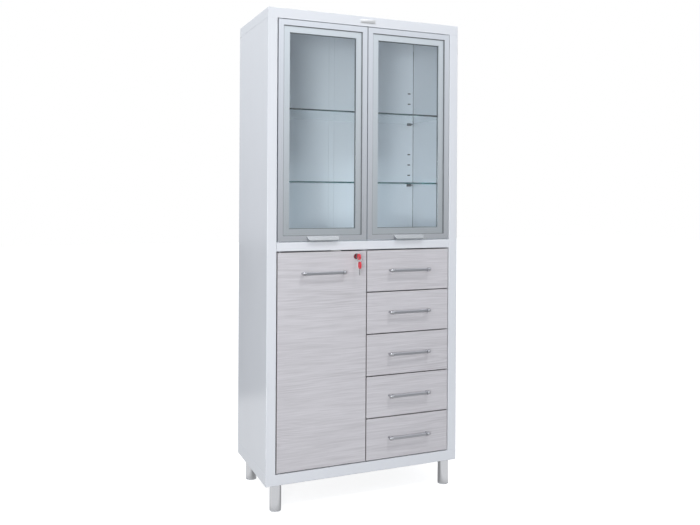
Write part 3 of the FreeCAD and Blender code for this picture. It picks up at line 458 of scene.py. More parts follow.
@dataclass(frozen=True)
class GreyLaminate(Finish):
    """Pale grey ash laminate with level grain, arched figure, small knots, a fine pored skin and painted
    shade on its edges.
    """

    light: Colour = (0.69, 0.672, 0.70)
    dark: Colour = (0.485, 0.468, 0.488)
    # Painted shade: darker colour on the edges, standing in for the shade in the gaps between fronts.
    edge: Colour = (0.40, 0.385, 0.39)
    board: float = 0.27
    ring: float = 0.0075
    slant: float = 0.025
    ring_sway: float = 0.05
    arch_round: float = 0.02
    late_wood: float = 2.5
    figure_place: Range = (0.02, 0.12)
    figure_share: Range = (1.0, 0.1)
    streak_sway: float = 0.02
    streaks_per_metre: Triple = (6.0, 20.0, 150.0)
    streak_span: Range = (0.36, 0.68)
    knot_size: Range = (0.015, 0.05)
    knot_rarity: float = 0.72
    patch_span: Range = (0.46, 0.62)
    patch_share: Range = (0.1, 1.0)
    fibre_weight: float = 0.26
    streak_weight: float = 0.5
    figure_weight: float = 0.32
    knot_weight: float = 0.8
    front_facing: float = 0.5
    roughness: Range = (0.48, 0.58)

    def _figure(self, wiring: Wiring, across: object, up: object, sway: object) -> bpy.types.NodeSocket:
        """Builds the year rings of boards that were cut a little askew.

        Args:
            wiring: The material's wiring.
            across: Socket of the place along the grain.
            up: Socket of the place across the grain.
            sway: Socket of a slow noise that bends the rings.

        Returns:
            Socket of the rings' darkness, strongest along the middle of each board.
        """
        bend = wiring.math("MULTIPLY", sway, self.ring_sway)
        lane = wiring.math("PINGPONG", wiring.math("ADD", up, bend), self.board / 2)
        arch = wiring.math(
            "SQRT", wiring.math("ADD", wiring.math("POWER", lane, 2.0), self.arch_round ** 2))
        depth = wiring.math("ADD", arch, wiring.math("MULTIPLY", across, self.slant))
        depth = wiring.math("ADD", depth, bend)
        rings = wiring.math("SINE", wiring.math("MULTIPLY", depth, 2 * math.pi / self.ring))
        late = wiring.math("POWER", wiring.ranged(rings, (-1.0, 1.0), (0.0, 1.0)), self.late_wood)
        return wiring.math("MULTIPLY", late, wiring.ranged(lane, self.figure_place, self.figure_share))

    def _streaks(self, wiring: Wiring, axes: bpy.types.Node, sway: object) -> bpy.types.NodeSocket:
        """Builds long level streaks that wander a little.

        Args:
            wiring: The material's wiring.
            axes: Node that gives the place along each axis.
            sway: Socket of a slow noise that bends the streaks.

        Returns:
            Socket of the streaks' darkness.
        """
        bent = wiring.math("ADD", axes.outputs[2], wiring.math("MULTIPLY", sway, self.streak_sway))
        drawn = [
            wiring.math("MULTIPLY", place, count)
            for place, count in zip((axes.outputs[0], axes.outputs[1], bent), self.streaks_per_metre)]
        place = wiring.add("CombineXYZ", dict(enumerate(drawn)))
        noise = wiring.add(
            "TexNoise", {"Vector": place.outputs[0], "Scale": 1.0, "Detail": 5.0, "Roughness": 0.62})
        return wiring.ranged(noise.outputs[0], self.streak_span, (0.0, 1.0))

    def _knots(self, wiring: Wiring) -> bpy.types.NodeSocket:
        """Returns the socket of a few small dark knots."""
        spread = wiring.add("Mapping", {"Vector": wiring.place(), "Scale": (5.0, 0.0, 8.0)})
        cells = wiring.add("TexVoronoi", {"Vector": spread.outputs[0], "Scale": 1.0})
        spot = wiring.ranged(cells.outputs["Distance"], self.knot_size, (1.0, 0.0))
        chosen = wiring.add("SeparateColor", {0: cells.outputs["Color"]}).outputs[0]
        return wiring.math("MULTIPLY", spot, wiring.math("GREATER_THAN", chosen, self.knot_rarity))

    def surface(self, wiring: Wiring) -> bpy.types.NodeSocket:
        """Builds the laminate; see Finish.surface."""
        axes = wiring.add("SeparateXYZ", {0: wiring.place()})
        sway = wiring.stretched_noise(scale=(2.6, 1.0, 7.0), detail=2.0, roughness=0.4)
        fibres = wiring.stretched_noise(scale=(9.0, 60.0, 620.0), detail=3.0, roughness=0.6)
        blotches = wiring.stretched_noise(scale=(2.0, 1.0, 5.0), detail=2.0)
        patches = wiring.ranged(blotches, self.patch_span, self.patch_share)
        streaks = self._streaks(wiring, axes, sway)
        rings = self._figure(wiring, axes.outputs[0], axes.outputs[2], sway)
        figure = wiring.math("MULTIPLY", rings, patches)
        tone = wiring.math("MULTIPLY", wiring.ranged(fibres, SKIN_SPAN, (0.0, 1.0)), self.fibre_weight)
        tone = wiring.math("ADD", tone, wiring.math("MULTIPLY", streaks, self.streak_weight))
        tone = wiring.math("ADD", tone, wiring.math("MULTIPLY", figure, self.figure_weight))
        tone = wiring.math("ADD", tone, wiring.math("MULTIPLY", self._knots(wiring), self.knot_weight))
        # Painted shade on every face that doesn't face front or back.
        facing = wiring.add("SeparateXYZ", {0: wiring.add("TexCoord").outputs["Normal"]})
        edge_painted_shade = wiring.math(
            "LESS_THAN", wiring.math("ABSOLUTE", facing.outputs[1]), self.front_facing)
        shader = wiring.add("BsdfPrincipled", {
            "Base Color": wiring.blend(edge_painted_shade, wiring.blend(tone, self.light, self.dark), self.edge),
            "Roughness": wiring.ranged(fibres, SKIN_SPAN, self.roughness),
            "Specular IOR Level": 0.35,
            "Normal": wiring.bump(fibres, strength=0.12, distance=0.0002)})
        return shader.outputs[0]


@dataclass(frozen=True)
class DrawnMetal(Finish):
    """Bare or plated metal with lines drawn along one axis."""

    colour: Colour = (0.62, 0.63, 0.65)
    roughness: Range = (0.22, 0.34)
    per_metre: Triple = (1200.0, 1200.0, 6.0)
    depth: float = 0.05
    dull: float = 0.9

    def surface(self, wiring: Wiring) -> bpy.types.NodeSocket:
        """Builds the metal; see Finish.surface."""
        lines = Effect.lines(wiring, self.per_metre)
        shader = wiring.add("BsdfPrincipled", {
            "Base Color": wiring.blend(lines, dimmed(self.colour, self.dull), self.colour),
            "Metallic": 1.0,
            "Roughness": wiring.ranged(lines, LINE_SPAN, self.roughness),
            "Normal": wiring.bump(lines, strength=self.depth, distance=0.0001)})
        return shader.outputs[0]


@dataclass(frozen=True)
class HandleMetal(Finish):
    """Satin grey bar with polished chrome ends."""

    bar_node: str = "drawer_1_handle"
    end_length: float = 0.014
    satin: Colour = (0.425, 0.43, 0.46)
    chrome: Colour = (0.46, 0.465, 0.485)
    satin_roughness: Range = (0.42, 0.54)
    chrome_roughness: float = 0.12

    def surface(self, wiring: Wiring) -> bpy.types.NodeSocket:
        """Builds the metal; see Finish.surface."""
        low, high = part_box(self.bar_node)
        middle, half = (low.x + high.x) / 2, (high.x - low.x) / 2
        across = wiring.math("ABSOLUTE", wiring.add("SeparateXYZ", {0: wiring.place()}).outputs[0])
        reach = wiring.math("ABSOLUTE", wiring.math("SUBTRACT", across, middle))
        is_end = wiring.math("GREATER_THAN", reach, half - self.end_length)
        lines = Effect.lines(wiring, per_metre=(6.0, 1500.0, 1500.0))
        bar_rough = wiring.ranged(lines, LINE_SPAN, self.satin_roughness)
        rough = wiring.add("Mix", {0: is_end, 2: bar_rough, 3: self.chrome_roughness}).outputs[0]
        shader = wiring.add("BsdfPrincipled", {
            "Base Color": wiring.blend(is_end, self.satin, self.chrome),
            "Metallic": 1.0,
            "Roughness": rough})
        return shader.outputs[0]


@dataclass(frozen=True)
class MouldedPlastic(Finish):
    """Moulded plastic with a fine skin."""

    colour: Colour = (0.1, 0.1, 0.11)
    roughness: Range = (0.4, 0.5)
    grain: float = 900.0
    dull: float = 0.9

    def surface(self, wiring: Wiring) -> bpy.types.NodeSocket:
        """Builds the plastic; see Finish.surface."""
        height, patches = Effect.skin(wiring, grain=self.grain, patch=30.0)
        shader = wiring.add("BsdfPrincipled", {
            "Base Color": wiring.blend(patches, dimmed(self.colour, self.dull), self.colour),
            "Roughness": wiring.ranged(patches, SKIN_SPAN, self.roughness),
            "Normal": wiring.bump(height, strength=0.1, distance=0.0001)})
        return shader.outputs[0]


@dataclass(frozen=True)
class PaleFloor(Finish):
    """Plain pale floor that keeps a faint shadow; glossy things see a glow instead, a painted reflection
    that is dim far off and holds a painted shadow under the body.
    """

    colour: Colour = (0.36, 0.36, 0.36)
    seen_colour: Colour = (1.0, 1.0, 1.0)
    glow: float = 0.5
    glow_strength: float = 1.6
    mirror_edge: Range = (1.3, 1.5)
    mirrored: Range = (0.76, 0.3)
    # Painted shadow: share of the glow that is taken away under the body.
    shade: float = 0.6
    shade_x: Range = (0.33, 0.43)
    shade_y: Range = (0.14, 0.25)

    def surface(self, wiring: Wiring) -> bpy.types.NodeSocket:
        """Builds the floor; see Finish.surface."""
        rays = wiring.add("LightPath")
        direct = wiring.math("MAXIMUM", rays.outputs["Is Camera Ray"], rays.outputs["Is Transmission Ray"])
        lit = wiring.add("BsdfDiffuse", {"Color": wiring.blend(direct, self.colour, self.seen_colour)})
        white = wiring.add("Emission", {"Strength": self.glow_strength})
        share = wiring.math("MULTIPLY", direct, self.glow)
        shown = wiring.add("MixShader", {0: share, 1: lit.outputs[0], 2: white.outputs[0]})
        # Painted reflection for glossy rays: a glow, dimmed far off and by a painted shadow under the
        # body.
        axes = wiring.add("SeparateXYZ", {0: wiring.place()})
        across = wiring.math("ABSOLUTE", axes.outputs[0])
        along = wiring.math("ABSOLUTE", axes.outputs[1])
        far = wiring.ranged(along, self.mirror_edge, self.mirrored)
        beside = wiring.ranged(across, self.shade_x, (self.shade, 0.0))
        before = wiring.ranged(along, self.shade_y, (1.0, 0.0))
        open_share = wiring.math("SUBTRACT", 1.0, wiring.math("MULTIPLY", beside, before))
        mirror = wiring.add("Emission", {"Strength": wiring.math("MULTIPLY", far, open_share)})
        reflected = wiring.math("GREATER_THAN", rays.outputs["Is Glossy Ray"], direct)
        mixed = wiring.add("MixShader", {0: reflected, 1: shown.outputs[0], 2: mirror.outputs[0]})
        return mixed.outputs[0]


WHITE_COAT = PowderCoat("white_powder_coat")
POST_COAT = PostCoat("white_powder_coat_on_posts")
DOOR_ALUMINIUM = DoorAluminium("satin_door_aluminium")
PANE_GLASS = FloatGlass("door_pane_glass")
SHELF_GLASS = FloatGlass("shelf_glass", cut_edge=True)
LAMINATE = GreyLaminate("grey_ash_laminate")
HANDLE_METAL = HandleMetal("handle_metal")

# Metals: name, colour, roughness, lines per metre, depth of the lines
PULL_METAL = DrawnMetal("satin_pull_aluminium", (0.42, 0.435, 0.45), (0.34, 0.44), (5.0, 1400.0, 1400.0))
PLATE_METAL = DrawnMetal("pale_plate_metal", (0.76, 0.765, 0.77), (0.36, 0.46), (6.0, 1500.0, 1500.0))
LEG_STEEL = DrawnMetal("satin_leg_steel", (0.81, 0.825, 0.86), (0.12, 0.18), (6.0, 6.0, 1500.0), 0.2)
ZINC_STEEL = DrawnMetal("zinc_plated_steel", (0.58, 0.6, 0.63), (0.3, 0.42), (900.0, 6.0, 900.0))
CHROME = DrawnMetal("polished_lock_chrome", (0.45, 0.46, 0.48), (0.06, 0.12), (500.0, 6.0, 500.0), 0.01)
KEY_STEEL = DrawnMetal("nickel_key_steel", (0.5, 0.5, 0.5), (0.2, 0.3), (900.0, 900.0, 900.0), 0.02)

# Plastics, rubber and black steel: name, colour, roughness, pebbles per metre
RED_PLASTIC = MouldedPlastic("red_key_plastic", (0.82, 0.035, 0.055), (0.28, 0.36), 1200.0)
DARK_PLASTIC = MouldedPlastic("dark_moulded_plastic", (0.06, 0.06, 0.065), (0.5, 0.6))
GREY_PLASTIC = MouldedPlastic("grey_moulded_plastic", (0.6, 0.61, 0.63), (0.45, 0.55))
WHITE_PLASTIC = MouldedPlastic("white_moulded_plastic", (0.8, 0.8, 0.79), (0.42, 0.5))
BLACK_STEEL = MouldedPlastic("black_passivated_steel", (0.10, 0.10, 0.11), (0.35, 0.45), 600.0)
GASKET_RUBBER = MouldedPlastic("gasket_rubber", (0.16, 0.175, 0.185), (0.6, 0.7), 700.0)
# Painted shade: the dark strip in the frame's step stands in for the shade on the step's riser.
STEP_SHADE_STRIP = MouldedPlastic("step_shade_strip", (0.20, 0.21, 0.22), (0.6, 0.7), 700.0)


def dress(nodes: Iterable[str], finish: Finish) -> None:
    """Gives CAD nodes a finish.

    Args:
        nodes: Names of the nodes.
        finish: The finish for all of their faces.
    """
    for name in nodes:
        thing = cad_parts[name]
        for slot in thing.material_slots:
            slot.material = finish.material()
        LOG.info("dressed %s in %s", name, finish.name)


# Hand modelling


class Bench:
    """Edit-mode modelling on one mesh at a time."""

    @staticmethod
    def block(name: str, low: Vector, high: Vector) -> bpy.types.Object:
        """Adds a box to shape further.

        Args:
            name: The piece's name.
            low: Lowest corner.
            high: Highest corner.

        Returns:
            The new object, its size and place already in its mesh.
        """
        bpy.ops.object.select_all(action="DESELECT")
        bpy.ops.mesh.primitive_cube_add(size=1.0, location=(low + high) / 2)
        return Bench._named(name, high - low)

    @staticmethod
    def disc(name: str, centre: Vector, radius: float, depth: float, sides: int = 64) -> bpy.types.Object:
        """Adds a cylinder along Y to shape further.

        Args:
            name: The piece's name.
            centre: Middle of the cylinder.
            radius: Radius in metres.
            depth: Length along Y in metres.
            sides: Corners around it.

        Returns:
            The new object, its place already in its mesh.
        """
        bpy.ops.object.select_all(action="DESELECT")
        bpy.ops.mesh.primitive_cylinder_add(
            vertices=sides, radius=radius, depth=depth, location=centre, rotation=(math.pi / 2, 0.0, 0.0))
        return Bench._named(name, Vector((1.0, 1.0, 1.0)))

    @staticmethod
    def _named(name: str, scale: Vector) -> bpy.types.Object:
        """Names the new primitive and puts its place and size into its mesh.

        Args:
            name: The piece's name.
            scale: Scale to apply.

        Returns:
            The object.
        """
        thing = bpy.context.object
        thing.name = name
        thing.data.name = name
        thing.scale = scale
        bpy.ops.object.transform_apply(location=True, rotation=True, scale=True)
        return thing

    @staticmethod
    def pick(
            thing: bpy.types.Object, element: Element,
            test: Callable[[object, list[Vector]], bool]) -> None:
        """Selects part of a mesh and enters edit mode.

        Args:
            thing: The object.
            element: Vertices, edges or faces.
            test: Tells from the element and its corners whether it is picked.
        """
        bpy.context.view_layer.objects.active = thing
        if thing.mode != "OBJECT":
            bpy.ops.object.mode_set(mode="OBJECT")
        bpy.context.tool_settings.mesh_select_mode = [element is kind for kind in Element]
        mesh = thing.data
        for kind in Element:
            for item in getattr(mesh, kind.value):
                item.select = False
        for item in getattr(mesh, element.value):
            corners = [item.index] if element is Element.VERTEX else item.vertices
            item.select = test(item, [mesh.vertices[i].co for i in corners])
        bpy.ops.object.mode_set(mode="EDIT")

    @staticmethod
    def done(thing: bpy.types.Object, smooth_angle: float = 40.0) -> bpy.types.Object:
        """Leaves edit mode with clean normals and smooth shading.

        Args:
            thing: The object.
            smooth_angle: Edges sharper than this, in degrees, stay sharp.

        Returns:
            The same object.
        """
        bpy.context.view_layer.objects.active = thing
        if thing.mode != "EDIT":
            bpy.ops.object.mode_set(mode="EDIT")
        bpy.ops.mesh.select_all(action="SELECT")
        bpy.ops.mesh.remove_doubles(threshold=NEAR)
        bpy.ops.mesh.normals_make_consistent(inside=False)
        bpy.ops.object.mode_set(mode="OBJECT")
        bpy.ops.object.select_all(action="DESELECT")
        thing.select_set(True)
        bpy.ops.object.shade_smooth_by_angle(angle=math.radians(smooth_angle))
        return thing

    @staticmethod
    def hand_over(thing: bpy.types.Object, body: str, slot: str, finish: Finish) -> bpy.types.Object:
        """Gives a finished piece its finish and its body.

        Args:
            thing: The piece.
            body: CAD body that it rides on.
            slot: The record's material slot; not used.
            finish: The piece's finish.

        Returns:
            The same piece.
        """
        thing.data.materials.clear()
        thing.data.materials.append(finish.material())
        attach(thing, body)
        LOG.info("made %s on %s", thing.name, body)
        return thing


# Sub-assemblies


@dataclass
class Carcass:
    """White sheet-steel body with its inner fittings."""

    white_nodes: tuple[str, ...] = (
        "back_center_channel", "top_cap", "cap_header", "base_tray", "floor_panel", "mid_deck",
        "lower_partition", "drawer_liner", "lower_shelf")
    post_nodes: tuple[str, ...] = (
        "side_panel_left", "side_panel_right", "back_panel_left", "back_panel_right")
    zinc_nodes: tuple[str, ...] = ("pivot_pins", "slide_outer_members", "carcass_screws")
    plate_width: float = 62 * MM
    plate_height: float = 15 * MM
    plate_depth: float = 1.0 * MM
    plate_corner: float = 3.0 * MM
    plate_rim: float = 0.4 * MM
    plate_rise: float = 0.15 * MM

    def dress(self) -> None:
        """Gives the body's nodes their finishes."""
        dress(self.white_nodes, WHITE_COAT)
        dress(self.post_nodes, POST_COAT)
        dress(self.zinc_nodes, ZINC_STEEL)
        dress(("shelf_clips",), BLACK_STEEL)
        dress(("glass_shelves",), SHELF_GLASS)
        dress(("magnetic_catches",), WHITE_PLASTIC)
        dress(("legs",), LEG_STEEL)
        dress(("leg_glides",), GREY_PLASTIC)

    def build(self) -> None:
        """Makes the bare plate on the front of the cap."""
        low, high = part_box("top_cap")
        middle = Vector(((low.x + high.x) / 2, low.y, (low.z + high.z) / 2))
        half = Vector((self.plate_width / 2, 0.0, self.plate_height / 2))
        depth = Vector((0.0, self.plate_depth, 0.0))
        plate = Bench.block("cap_plate", middle - half - depth, middle + half)
        Bench.pick(
            plate, Element.EDGE,
            lambda edge, ends: abs(ends[0].y - ends[1].y) > self.plate_depth / 2)
        bpy.ops.mesh.bevel(offset=self.plate_corner, segments=5)
        Bench.pick(plate, Element.FACE, lambda face, ends: face.normal.y < -FACING)
        bpy.ops.mesh.inset(thickness=self.plate_rim)
        bpy.ops.transform.translate(value=(0.0, -self.plate_rise, 0.0))
        Bench.hand_over(Bench.done(plate), "cabinet", "frame_aluminium", PLATE_METAL)


@dataclass
class GlassDoor:
    """Aluminium-framed glass door with its lip pull."""

    side: Side
    gasket_width: float = 2.2 * MM
    gasket_depth: float = 1.5 * MM
    frame_width: float = 45.5 * MM
    # Painted shade ring: width and depth of the dark strip in the frame's step.
    step_shade_width: float = 1.6 * MM
    step_shade_depth: Range = (1.6 * MM, 6.0 * MM)
    outer_band: float = 20.5 * MM

    def dress(self) -> None:
        """Gives the door's nodes their finishes."""
        door = f"{self.side.value}_door"
        dress((f"{door}_frame",), DOOR_ALUMINIUM)
        dress((f"{door}_pull",), PULL_METAL)
        dress((f"{door}_glass",), PANE_GLASS)
        dress((f"{door}_bead",), DARK_PLASTIC)
        dress((f"{door}_bushes",), WHITE_PLASTIC)

    def _ring(self, name: str, inset: float, width: float, depth: Range, finish: Finish) -> None:
        """Makes a thin ring that runs round the inside of the frame.

        Args:
            name: The piece's name, after the door's.
            inset: Distance of the ring's outer edge from the frame's outer edge.
            width: Width of the ring.
            depth: Front and back of the ring along Y.
            finish: The ring's finish.
        """
        door = f"{self.side.value}_door"
        low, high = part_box(f"{door}_frame")
        corner = Vector((inset, 0.0, inset))
        low, high = low + corner, high - corner
        low.y, high.y = depth
        ring = Bench.block(f"{door}_{name}", low, high)
        Bench.pick(ring, Element.FACE, lambda face, ends: abs(face.normal.y) > FACING)
        bpy.ops.mesh.inset(thickness=width, use_individual=True)
        bpy.ops.mesh.bridge_edge_loops()
        Bench.pick(
            ring, Element.EDGE,
            lambda edge, ends: all(abs(end.y - depth[0]) < NEAR for end in ends))
        bpy.ops.mesh.bevel(offset=width / 5, segments=2)
        Bench.hand_over(Bench.done(ring), f"{self.side.value}_glass_door", "dark_plastic", finish)

    def build(self) -> None:
        """Makes the glazing gasket in front of the pane, and a dark ring in the step of the frame as
        painted shade on the step's riser.
        """
        pane_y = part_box(f"{self.side.value}_door_glass")[0].y
        front_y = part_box(f"{self.side.value}_door_frame")[0].y
        lip = (pane_y - self.gasket_depth, pane_y)
        self._ring("gasket", self.frame_width, self.gasket_width, lip, GASKET_RUBBER)
        step = tuple(front_y + y for y in self.step_shade_depth)
        self._ring("band_step_shade", self.outer_band, self.step_shade_width, step, STEP_SHADE_STRIP)


@dataclass
class LowerDoor:
    """Laminated door with its bar handle."""

    def dress(self) -> None:
        """Gives the door's nodes their finishes."""
        dress(("lower_door_panel",), LAMINATE)
        dress(("lower_door_handle",), HANDLE_METAL)
        dress(("lower_door_bushes",), WHITE_PLASTIC)


@dataclass
class Drawer:
    """Laminated drawer with its steel box and slides."""

    number: int

    def dress(self) -> None:
        """Gives the drawer's nodes their finishes."""
        name = f"drawer_{self.number}"
        dress((f"{name}_front",), LAMINATE)
        dress((f"{name}_handle",), HANDLE_METAL)
        dress((f"{name}_box",), WHITE_COAT)
        dress((f"{name}_slide",), ZINC_STEEL)


@dataclass
class LockAndKeys:
    """Cam lock with a key in it, and a spare key on a ring."""

    bow: Vector = field(default_factory=lambda: Vector((5.0, 27.0, 23.0)) * MM)
    hole_edge: float = 5.0 * MM
    hole_radius: float = 3.0 * MM
    corner: float = 10.6 * MM
    rim: float = 1.1 * MM
    rim_round: float = 0.8
    rim_reach: float = 0.3
    border: float = 2.2 * MM
    dish_slope: float = 0.5 * MM
    dish: float = 0.82
    blade: Vector = field(default_factory=lambda: Vector((2.2, 26.0, 8.0)) * MM)
    blade_root: float = 1.0 * MM
    notches: tuple[float, ...] = (1.2, 2.4, 0.9, 2.0, 1.5)
    tip_taper: Triple = (0.7, 1.0, 0.45)
    flat_facing: float = 0.95
    groove_edge: float = 0.7 * MM
    groove: float = 0.55

    def dress(self) -> None:
        """Gives the lock's nodes their finishes."""
        dress(("lock_housing", "lock_plug"), CHROME)
        dress(("lock_cam",), ZINC_STEEL)
        dress(("key_ring",), KEY_STEEL)

    def _bow(self, name: str) -> bpy.types.Object:
        """Models a key's plastic bow about its ring hole.

        Args:
            name: The piece's name.

        Returns:
            The bow, with its blade side towards +Y.
        """
        low = Vector((-self.bow.x / 2, -self.hole_edge, -self.bow.z / 2))
        bow = Bench.block(name, low, low + self.bow)
        Bench.pick(bow, Element.EDGE, lambda edge, ends: abs(ends[0].x - ends[1].x) > self.bow.x / 2)
        bpy.ops.mesh.bevel(offset=self.corner, segments=10)
        Bench.pick(bow, Element.FACE, lambda face, ends: abs(face.normal.x) > FACING)
        for width in (self.rim, self.border, self.dish_slope):
            bpy.ops.mesh.inset(thickness=width, use_individual=True)
        bpy.ops.transform.resize(value=(self.dish, 1.0, 1.0), center_override=(0.0, 0.0, 0.0))
        half = self.bow.x / 2
        Bench.pick(bow, Element.EDGE, lambda edge, ends: self._on_rim(ends, half))
        bpy.ops.mesh.bevel(offset=self.rim * self.rim_round, segments=3)
        Bench.done(bow)
        drill = Bench.disc("drill", Vector((0.0, 0.0, 0.0)), self.hole_radius, self.bow.y, sides=32)
        drill.data.transform(Matrix.Rotation(math.pi / 2, 4, "Z"))
        cut = bow.modifiers.new("ring_hole", "BOOLEAN")
        cut.operation = "DIFFERENCE"
        cut.object = drill
        bpy.context.view_layer.objects.active = bow
        bpy.ops.object.modifier_apply(modifier=cut.name)
        bpy.data.objects.remove(drill)
        return Bench.done(bow)

    def _on_rim(self, ends: list[Vector], half: float) -> bool:
        """Tells whether an edge lies on the outer rim of one of the bow's two faces.

        Args:
            ends: The edge's ends.
            half: Half of the bow's thickness.

        Returns:
            True on the rim.
        """
        if any(abs(abs(end.x) - half) > NEAR for end in ends):
            return False
        far = self.bow.y - self.hole_edge
        return all(self._edge_gap(end, far) < self.rim * self.rim_reach for end in ends)

    def _edge_gap(self, point: Vector, far: float) -> float:
        """Measures how far a point lies inside the bow's outline.

        Args:
            point: The point.
            far: The bow's end towards the blade, along Y.

        Returns:
            Distance to the outline in metres.
        """
        dy = max(-self.hole_edge + self.corner - point.y, point.y - far + self.corner, 0.0)
        dz = max(abs(point.z) - self.bow.z / 2 + self.corner, 0.0)
        if dy > 0.0 and dz > 0.0:
            return self.corner - math.hypot(dy, dz)
        return self.corner - max(dy, dz)

    def _blade(self, name: str) -> bpy.types.Object:
        """Models a key's notched blade.

        Args:
            name: The piece's name.

        Returns:
            The blade, pointing along +Y from the bow.
        """
        start = self.bow.y - self.hole_edge - self.blade_root
        low = Vector((-self.blade.x / 2, start, -self.blade.z / 2))
        blade = Bench.block(name, low, low + self.blade)
        Bench.pick(
            blade, Element.EDGE, lambda edge, ends: abs(ends[0].y - ends[1].y) > self.blade.y / 2)
        bpy.ops.mesh.subdivide(number_cuts=2 * len(self.notches) + 1)
        bpy.ops.object.mode_set(mode="OBJECT")
        step = self.blade.y / (2 * len(self.notches) + 2)
        for index, depth in enumerate(self.notches):
            at = start + (2 * index + 2) * step
            Bench.pick(
                blade, Element.VERTEX,
                lambda vertex, ends, at=at: abs(ends[0].y - at) < step / 4 and ends[0].z < 0.0)
            bpy.ops.transform.translate(value=(0.0, 0.0, depth * MM))
        tip = start + self.blade.y
        Bench.pick(blade, Element.VERTEX, lambda vertex, ends: abs(ends[0].y - tip) < step / 4)
        bpy.ops.transform.resize(value=self.tip_taper)
        Bench.pick(
            blade, Element.FACE,
            lambda face, ends: abs(face.normal.x) > self.flat_facing and face.center.y < tip - step)
        bpy.ops.mesh.inset(thickness=self.groove_edge)
        bpy.ops.transform.resize(value=(self.groove, 1.0, 1.0), center_override=(0.0, 0.0, 0.0))
        return Bench.done(blade, smooth_angle=25.0)

    def build(self) -> None:
        """Makes both keys and puts them in place of their solids."""
        keys = (("lock_key", "lock_barrel", 0.0), ("spare_key", "key_bunch", -math.pi / 2))
        for node, body, turn in keys:
            low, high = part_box(node)
            middle = (low + high) / 2
            hole = Vector((middle.x, low.y + self.hole_edge, middle.z))
            if turn:
                hole = Vector((middle.x, middle.y, high.z - self.hole_edge))
            place = Matrix.Translation(hole) @ Matrix.Rotation(turn, 4, "X")
            bow = self._bow(f"{node}_bow")
            blade = self._blade(f"{node}_blade")
            for piece in (bow, blade):
                piece.data.transform(place)
            Bench.hand_over(bow, body, "red_plastic", RED_PLASTIC)
            Bench.hand_over(blade, body, "satin_steel", KEY_STEEL)
            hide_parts(node)


# Studio


class LampUse(Enum):
    """What a lamp's light is for."""

    ALL = "all surfaces"
    SPREAD = "even light without a mirrored lamp"
    SPARK = "glints on metal alone"


@dataclass(frozen=True)
class Softbox:
    """Rectangular soft lamp that points at a spot."""

    name: str
    place: Triple
    target: Triple
    size: Range
    watts: float
    use: LampUse = LampUse.ALL

    def hang(self) -> None:
        """Places the lamp."""
        lamp = bpy.data.lights.new(self.name, "AREA")
        lamp.shape = "RECTANGLE"
        lamp.size, lamp.size_y = self.size
        lamp.energy = self.watts
        holder = bpy.data.objects.new(self.name, lamp)
        bpy.context.scene.collection.objects.link(holder)
        holder.visible_glossy = self.use is not LampUse.SPREAD
        holder.visible_diffuse = self.use is not LampUse.SPARK
        place = Vector(self.place)
        aim = (Vector(self.target) - place).to_track_quat("-Z", "Y")
        holder.matrix_world = Matrix.Translation(place) @ aim.to_matrix().to_4x4()


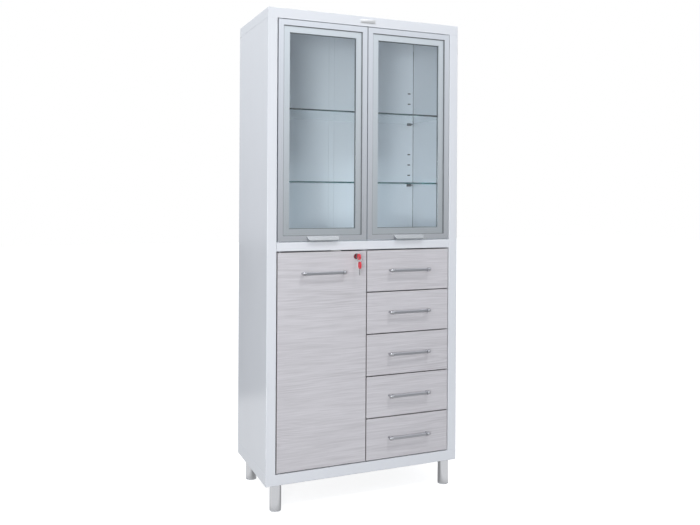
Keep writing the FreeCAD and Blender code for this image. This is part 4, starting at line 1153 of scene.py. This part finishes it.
@dataclass
class Studio:
    """Camera at the photograph's view, pale floor and soft light."""

    eye: Vector = field(default_factory=lambda: Vector((-1.1850, -2.8308, 1.1671)))
    yaw: float = 0.3977
    roll: float = 0.0054
    focal_px: float = 752.14
    horizon_px: float = 195.19
    frame_px: tuple[int, int] = (700, 525)
    sensor: float = 36.0
    floor_size: float = 30.0
    sky_colour: Colour = (0.93, 0.97, 1.03)
    sky_rise: Range = (-0.1, 0.9)
    sky_level: Range = (0.40, 0.70)
    sky_lean: float = 0.6
    rear_turn: Range = (0.0, 0.7)
    sky_rear: float = 2.0
    mirror_colour: Colour = (0.96, 0.985, 1.02)
    mirror_rise: Range = (-0.3, 0.4)
    mirror_level: Range = (0.16, 1.4)
    mirror_turn: Range = (0.1, 0.7)
    mirror_lean: Range = (1.1, 0.75)
    softboxes: tuple[Softbox, ...] = (
        Softbox("top_softbox", (0.35, -2.4, 4.5), (0.0, -0.18, 1.0), (0.7, 0.5), 43.0),
        Softbox("left_softbox", (-2.5, -4.0, 1.1), (0.0, 0.0, 1.0), (1.3, 1.3), 90.0, LampUse.SPREAD),
        Softbox("left_spark", (-2.5, -4.0, 1.4), (0.0, 0.0, 1.0), (0.55, 0.55), 16.0, LampUse.SPARK))

    def camera(self) -> None:
        """Places the camera."""
        lens = bpy.data.cameras.new("photo_camera")
        lens.sensor_width = self.sensor
        lens.lens = self.sensor * self.focal_px / self.frame_px[0]
        lens.shift_y = (self.horizon_px - self.frame_px[1] / 2) / self.frame_px[0]
        holder = bpy.data.objects.new("photo_camera", lens)
        bpy.context.scene.collection.objects.link(holder)
        turn = Matrix.Rotation(-self.yaw, 4, "Z") @ Matrix.Rotation(math.pi / 2, 4, "X")
        holder.matrix_world = Matrix.Translation(self.eye) @ turn @ Matrix.Rotation(self.roll, 4, "Z")
        bpy.context.scene.camera = holder

    def floor(self) -> None:
        """Lays the floor."""
        bpy.ops.object.select_all(action="DESELECT")
        bpy.ops.mesh.primitive_plane_add(size=self.floor_size, location=(0.0, 0.0, 0.0))
        ground = bpy.context.object
        ground.name = "floor"
        ground.data.materials.append(PaleFloor("pale_floor").material())

    def sky(self) -> None:
        """Sets the soft surrounding light, and a white background for the camera."""
        world = bpy.data.worlds.new("studio")
        bpy.context.scene.world = world
        world.use_nodes = True
        world.node_tree.nodes.clear()
        wiring = Wiring(world.node_tree)
        direction = wiring.add("SeparateXYZ", {0: wiring.add("TexCoord").outputs["Generated"]})
        right, rearward, up = direction.outputs
        level = wiring.ranged(up, self.sky_rise, self.sky_level)
        lean = wiring.ranged(right, (-1.0, 1.0), (1.0 + self.sky_lean, 1.0 - self.sky_lean))
        rear = wiring.math(
            "MULTIPLY", wiring.ranged(right, self.rear_turn, (0.0, self.sky_rear)),
            wiring.ranged(rearward, self.rear_turn, (0.0, 1.0)))
        strength = wiring.math("ADD", wiring.math("MULTIPLY", level, lean), rear)
        soft = wiring.add("Background", {"Color": (*self.sky_colour, 1.0), "Strength": strength})
        shine = wiring.math(
            "MULTIPLY", wiring.ranged(up, self.mirror_rise, self.mirror_level),
            wiring.ranged(right, self.mirror_turn, self.mirror_lean))
        mirror = wiring.add("Background", {"Color": (*self.mirror_colour, 1.0), "Strength": shine})
        white = wiring.add("Background", {"Color": (1.0, 1.0, 1.0, 1.0), "Strength": 1.0})
        rays = wiring.add("LightPath")
        direct = wiring.math("MAXIMUM", rays.outputs["Is Camera Ray"], rays.outputs["Is Transmission Ray"])
        inner = wiring.add(
            "MixShader", {0: rays.outputs["Is Glossy Ray"], 1: soft.outputs[0], 2: mirror.outputs[0]})
        mixed = wiring.add("MixShader", {0: direct, 1: inner.outputs[0], 2: white.outputs[0]})
        wiring.add("OutputWorld", {"Surface": mixed.outputs[0]})

    def build(self) -> None:
        """Sets up the whole studio."""
        self.camera()
        self.floor()
        self.sky()
        for softbox in self.softboxes:
            softbox.hang()
        bpy.context.scene.view_settings.view_transform = "Standard"


def main() -> None:
    """Builds and dresses the cabinet, then the studio around it."""
    logging.basicConfig(level=logging.INFO, format="%(message)s")
    carcass = Carcass()
    carcass.dress()
    carcass.build()
    for side in Side:
        door = GlassDoor(side)
        door.dress()
        door.build()
    LowerDoor().dress()
    lock = LockAndKeys()
    lock.dress()
    lock.build()
    for number in range(1, DRAWER_COUNT + 1):
        Drawer(number).dress()
    Studio().build()


if __name__ == "__main__":
    main()
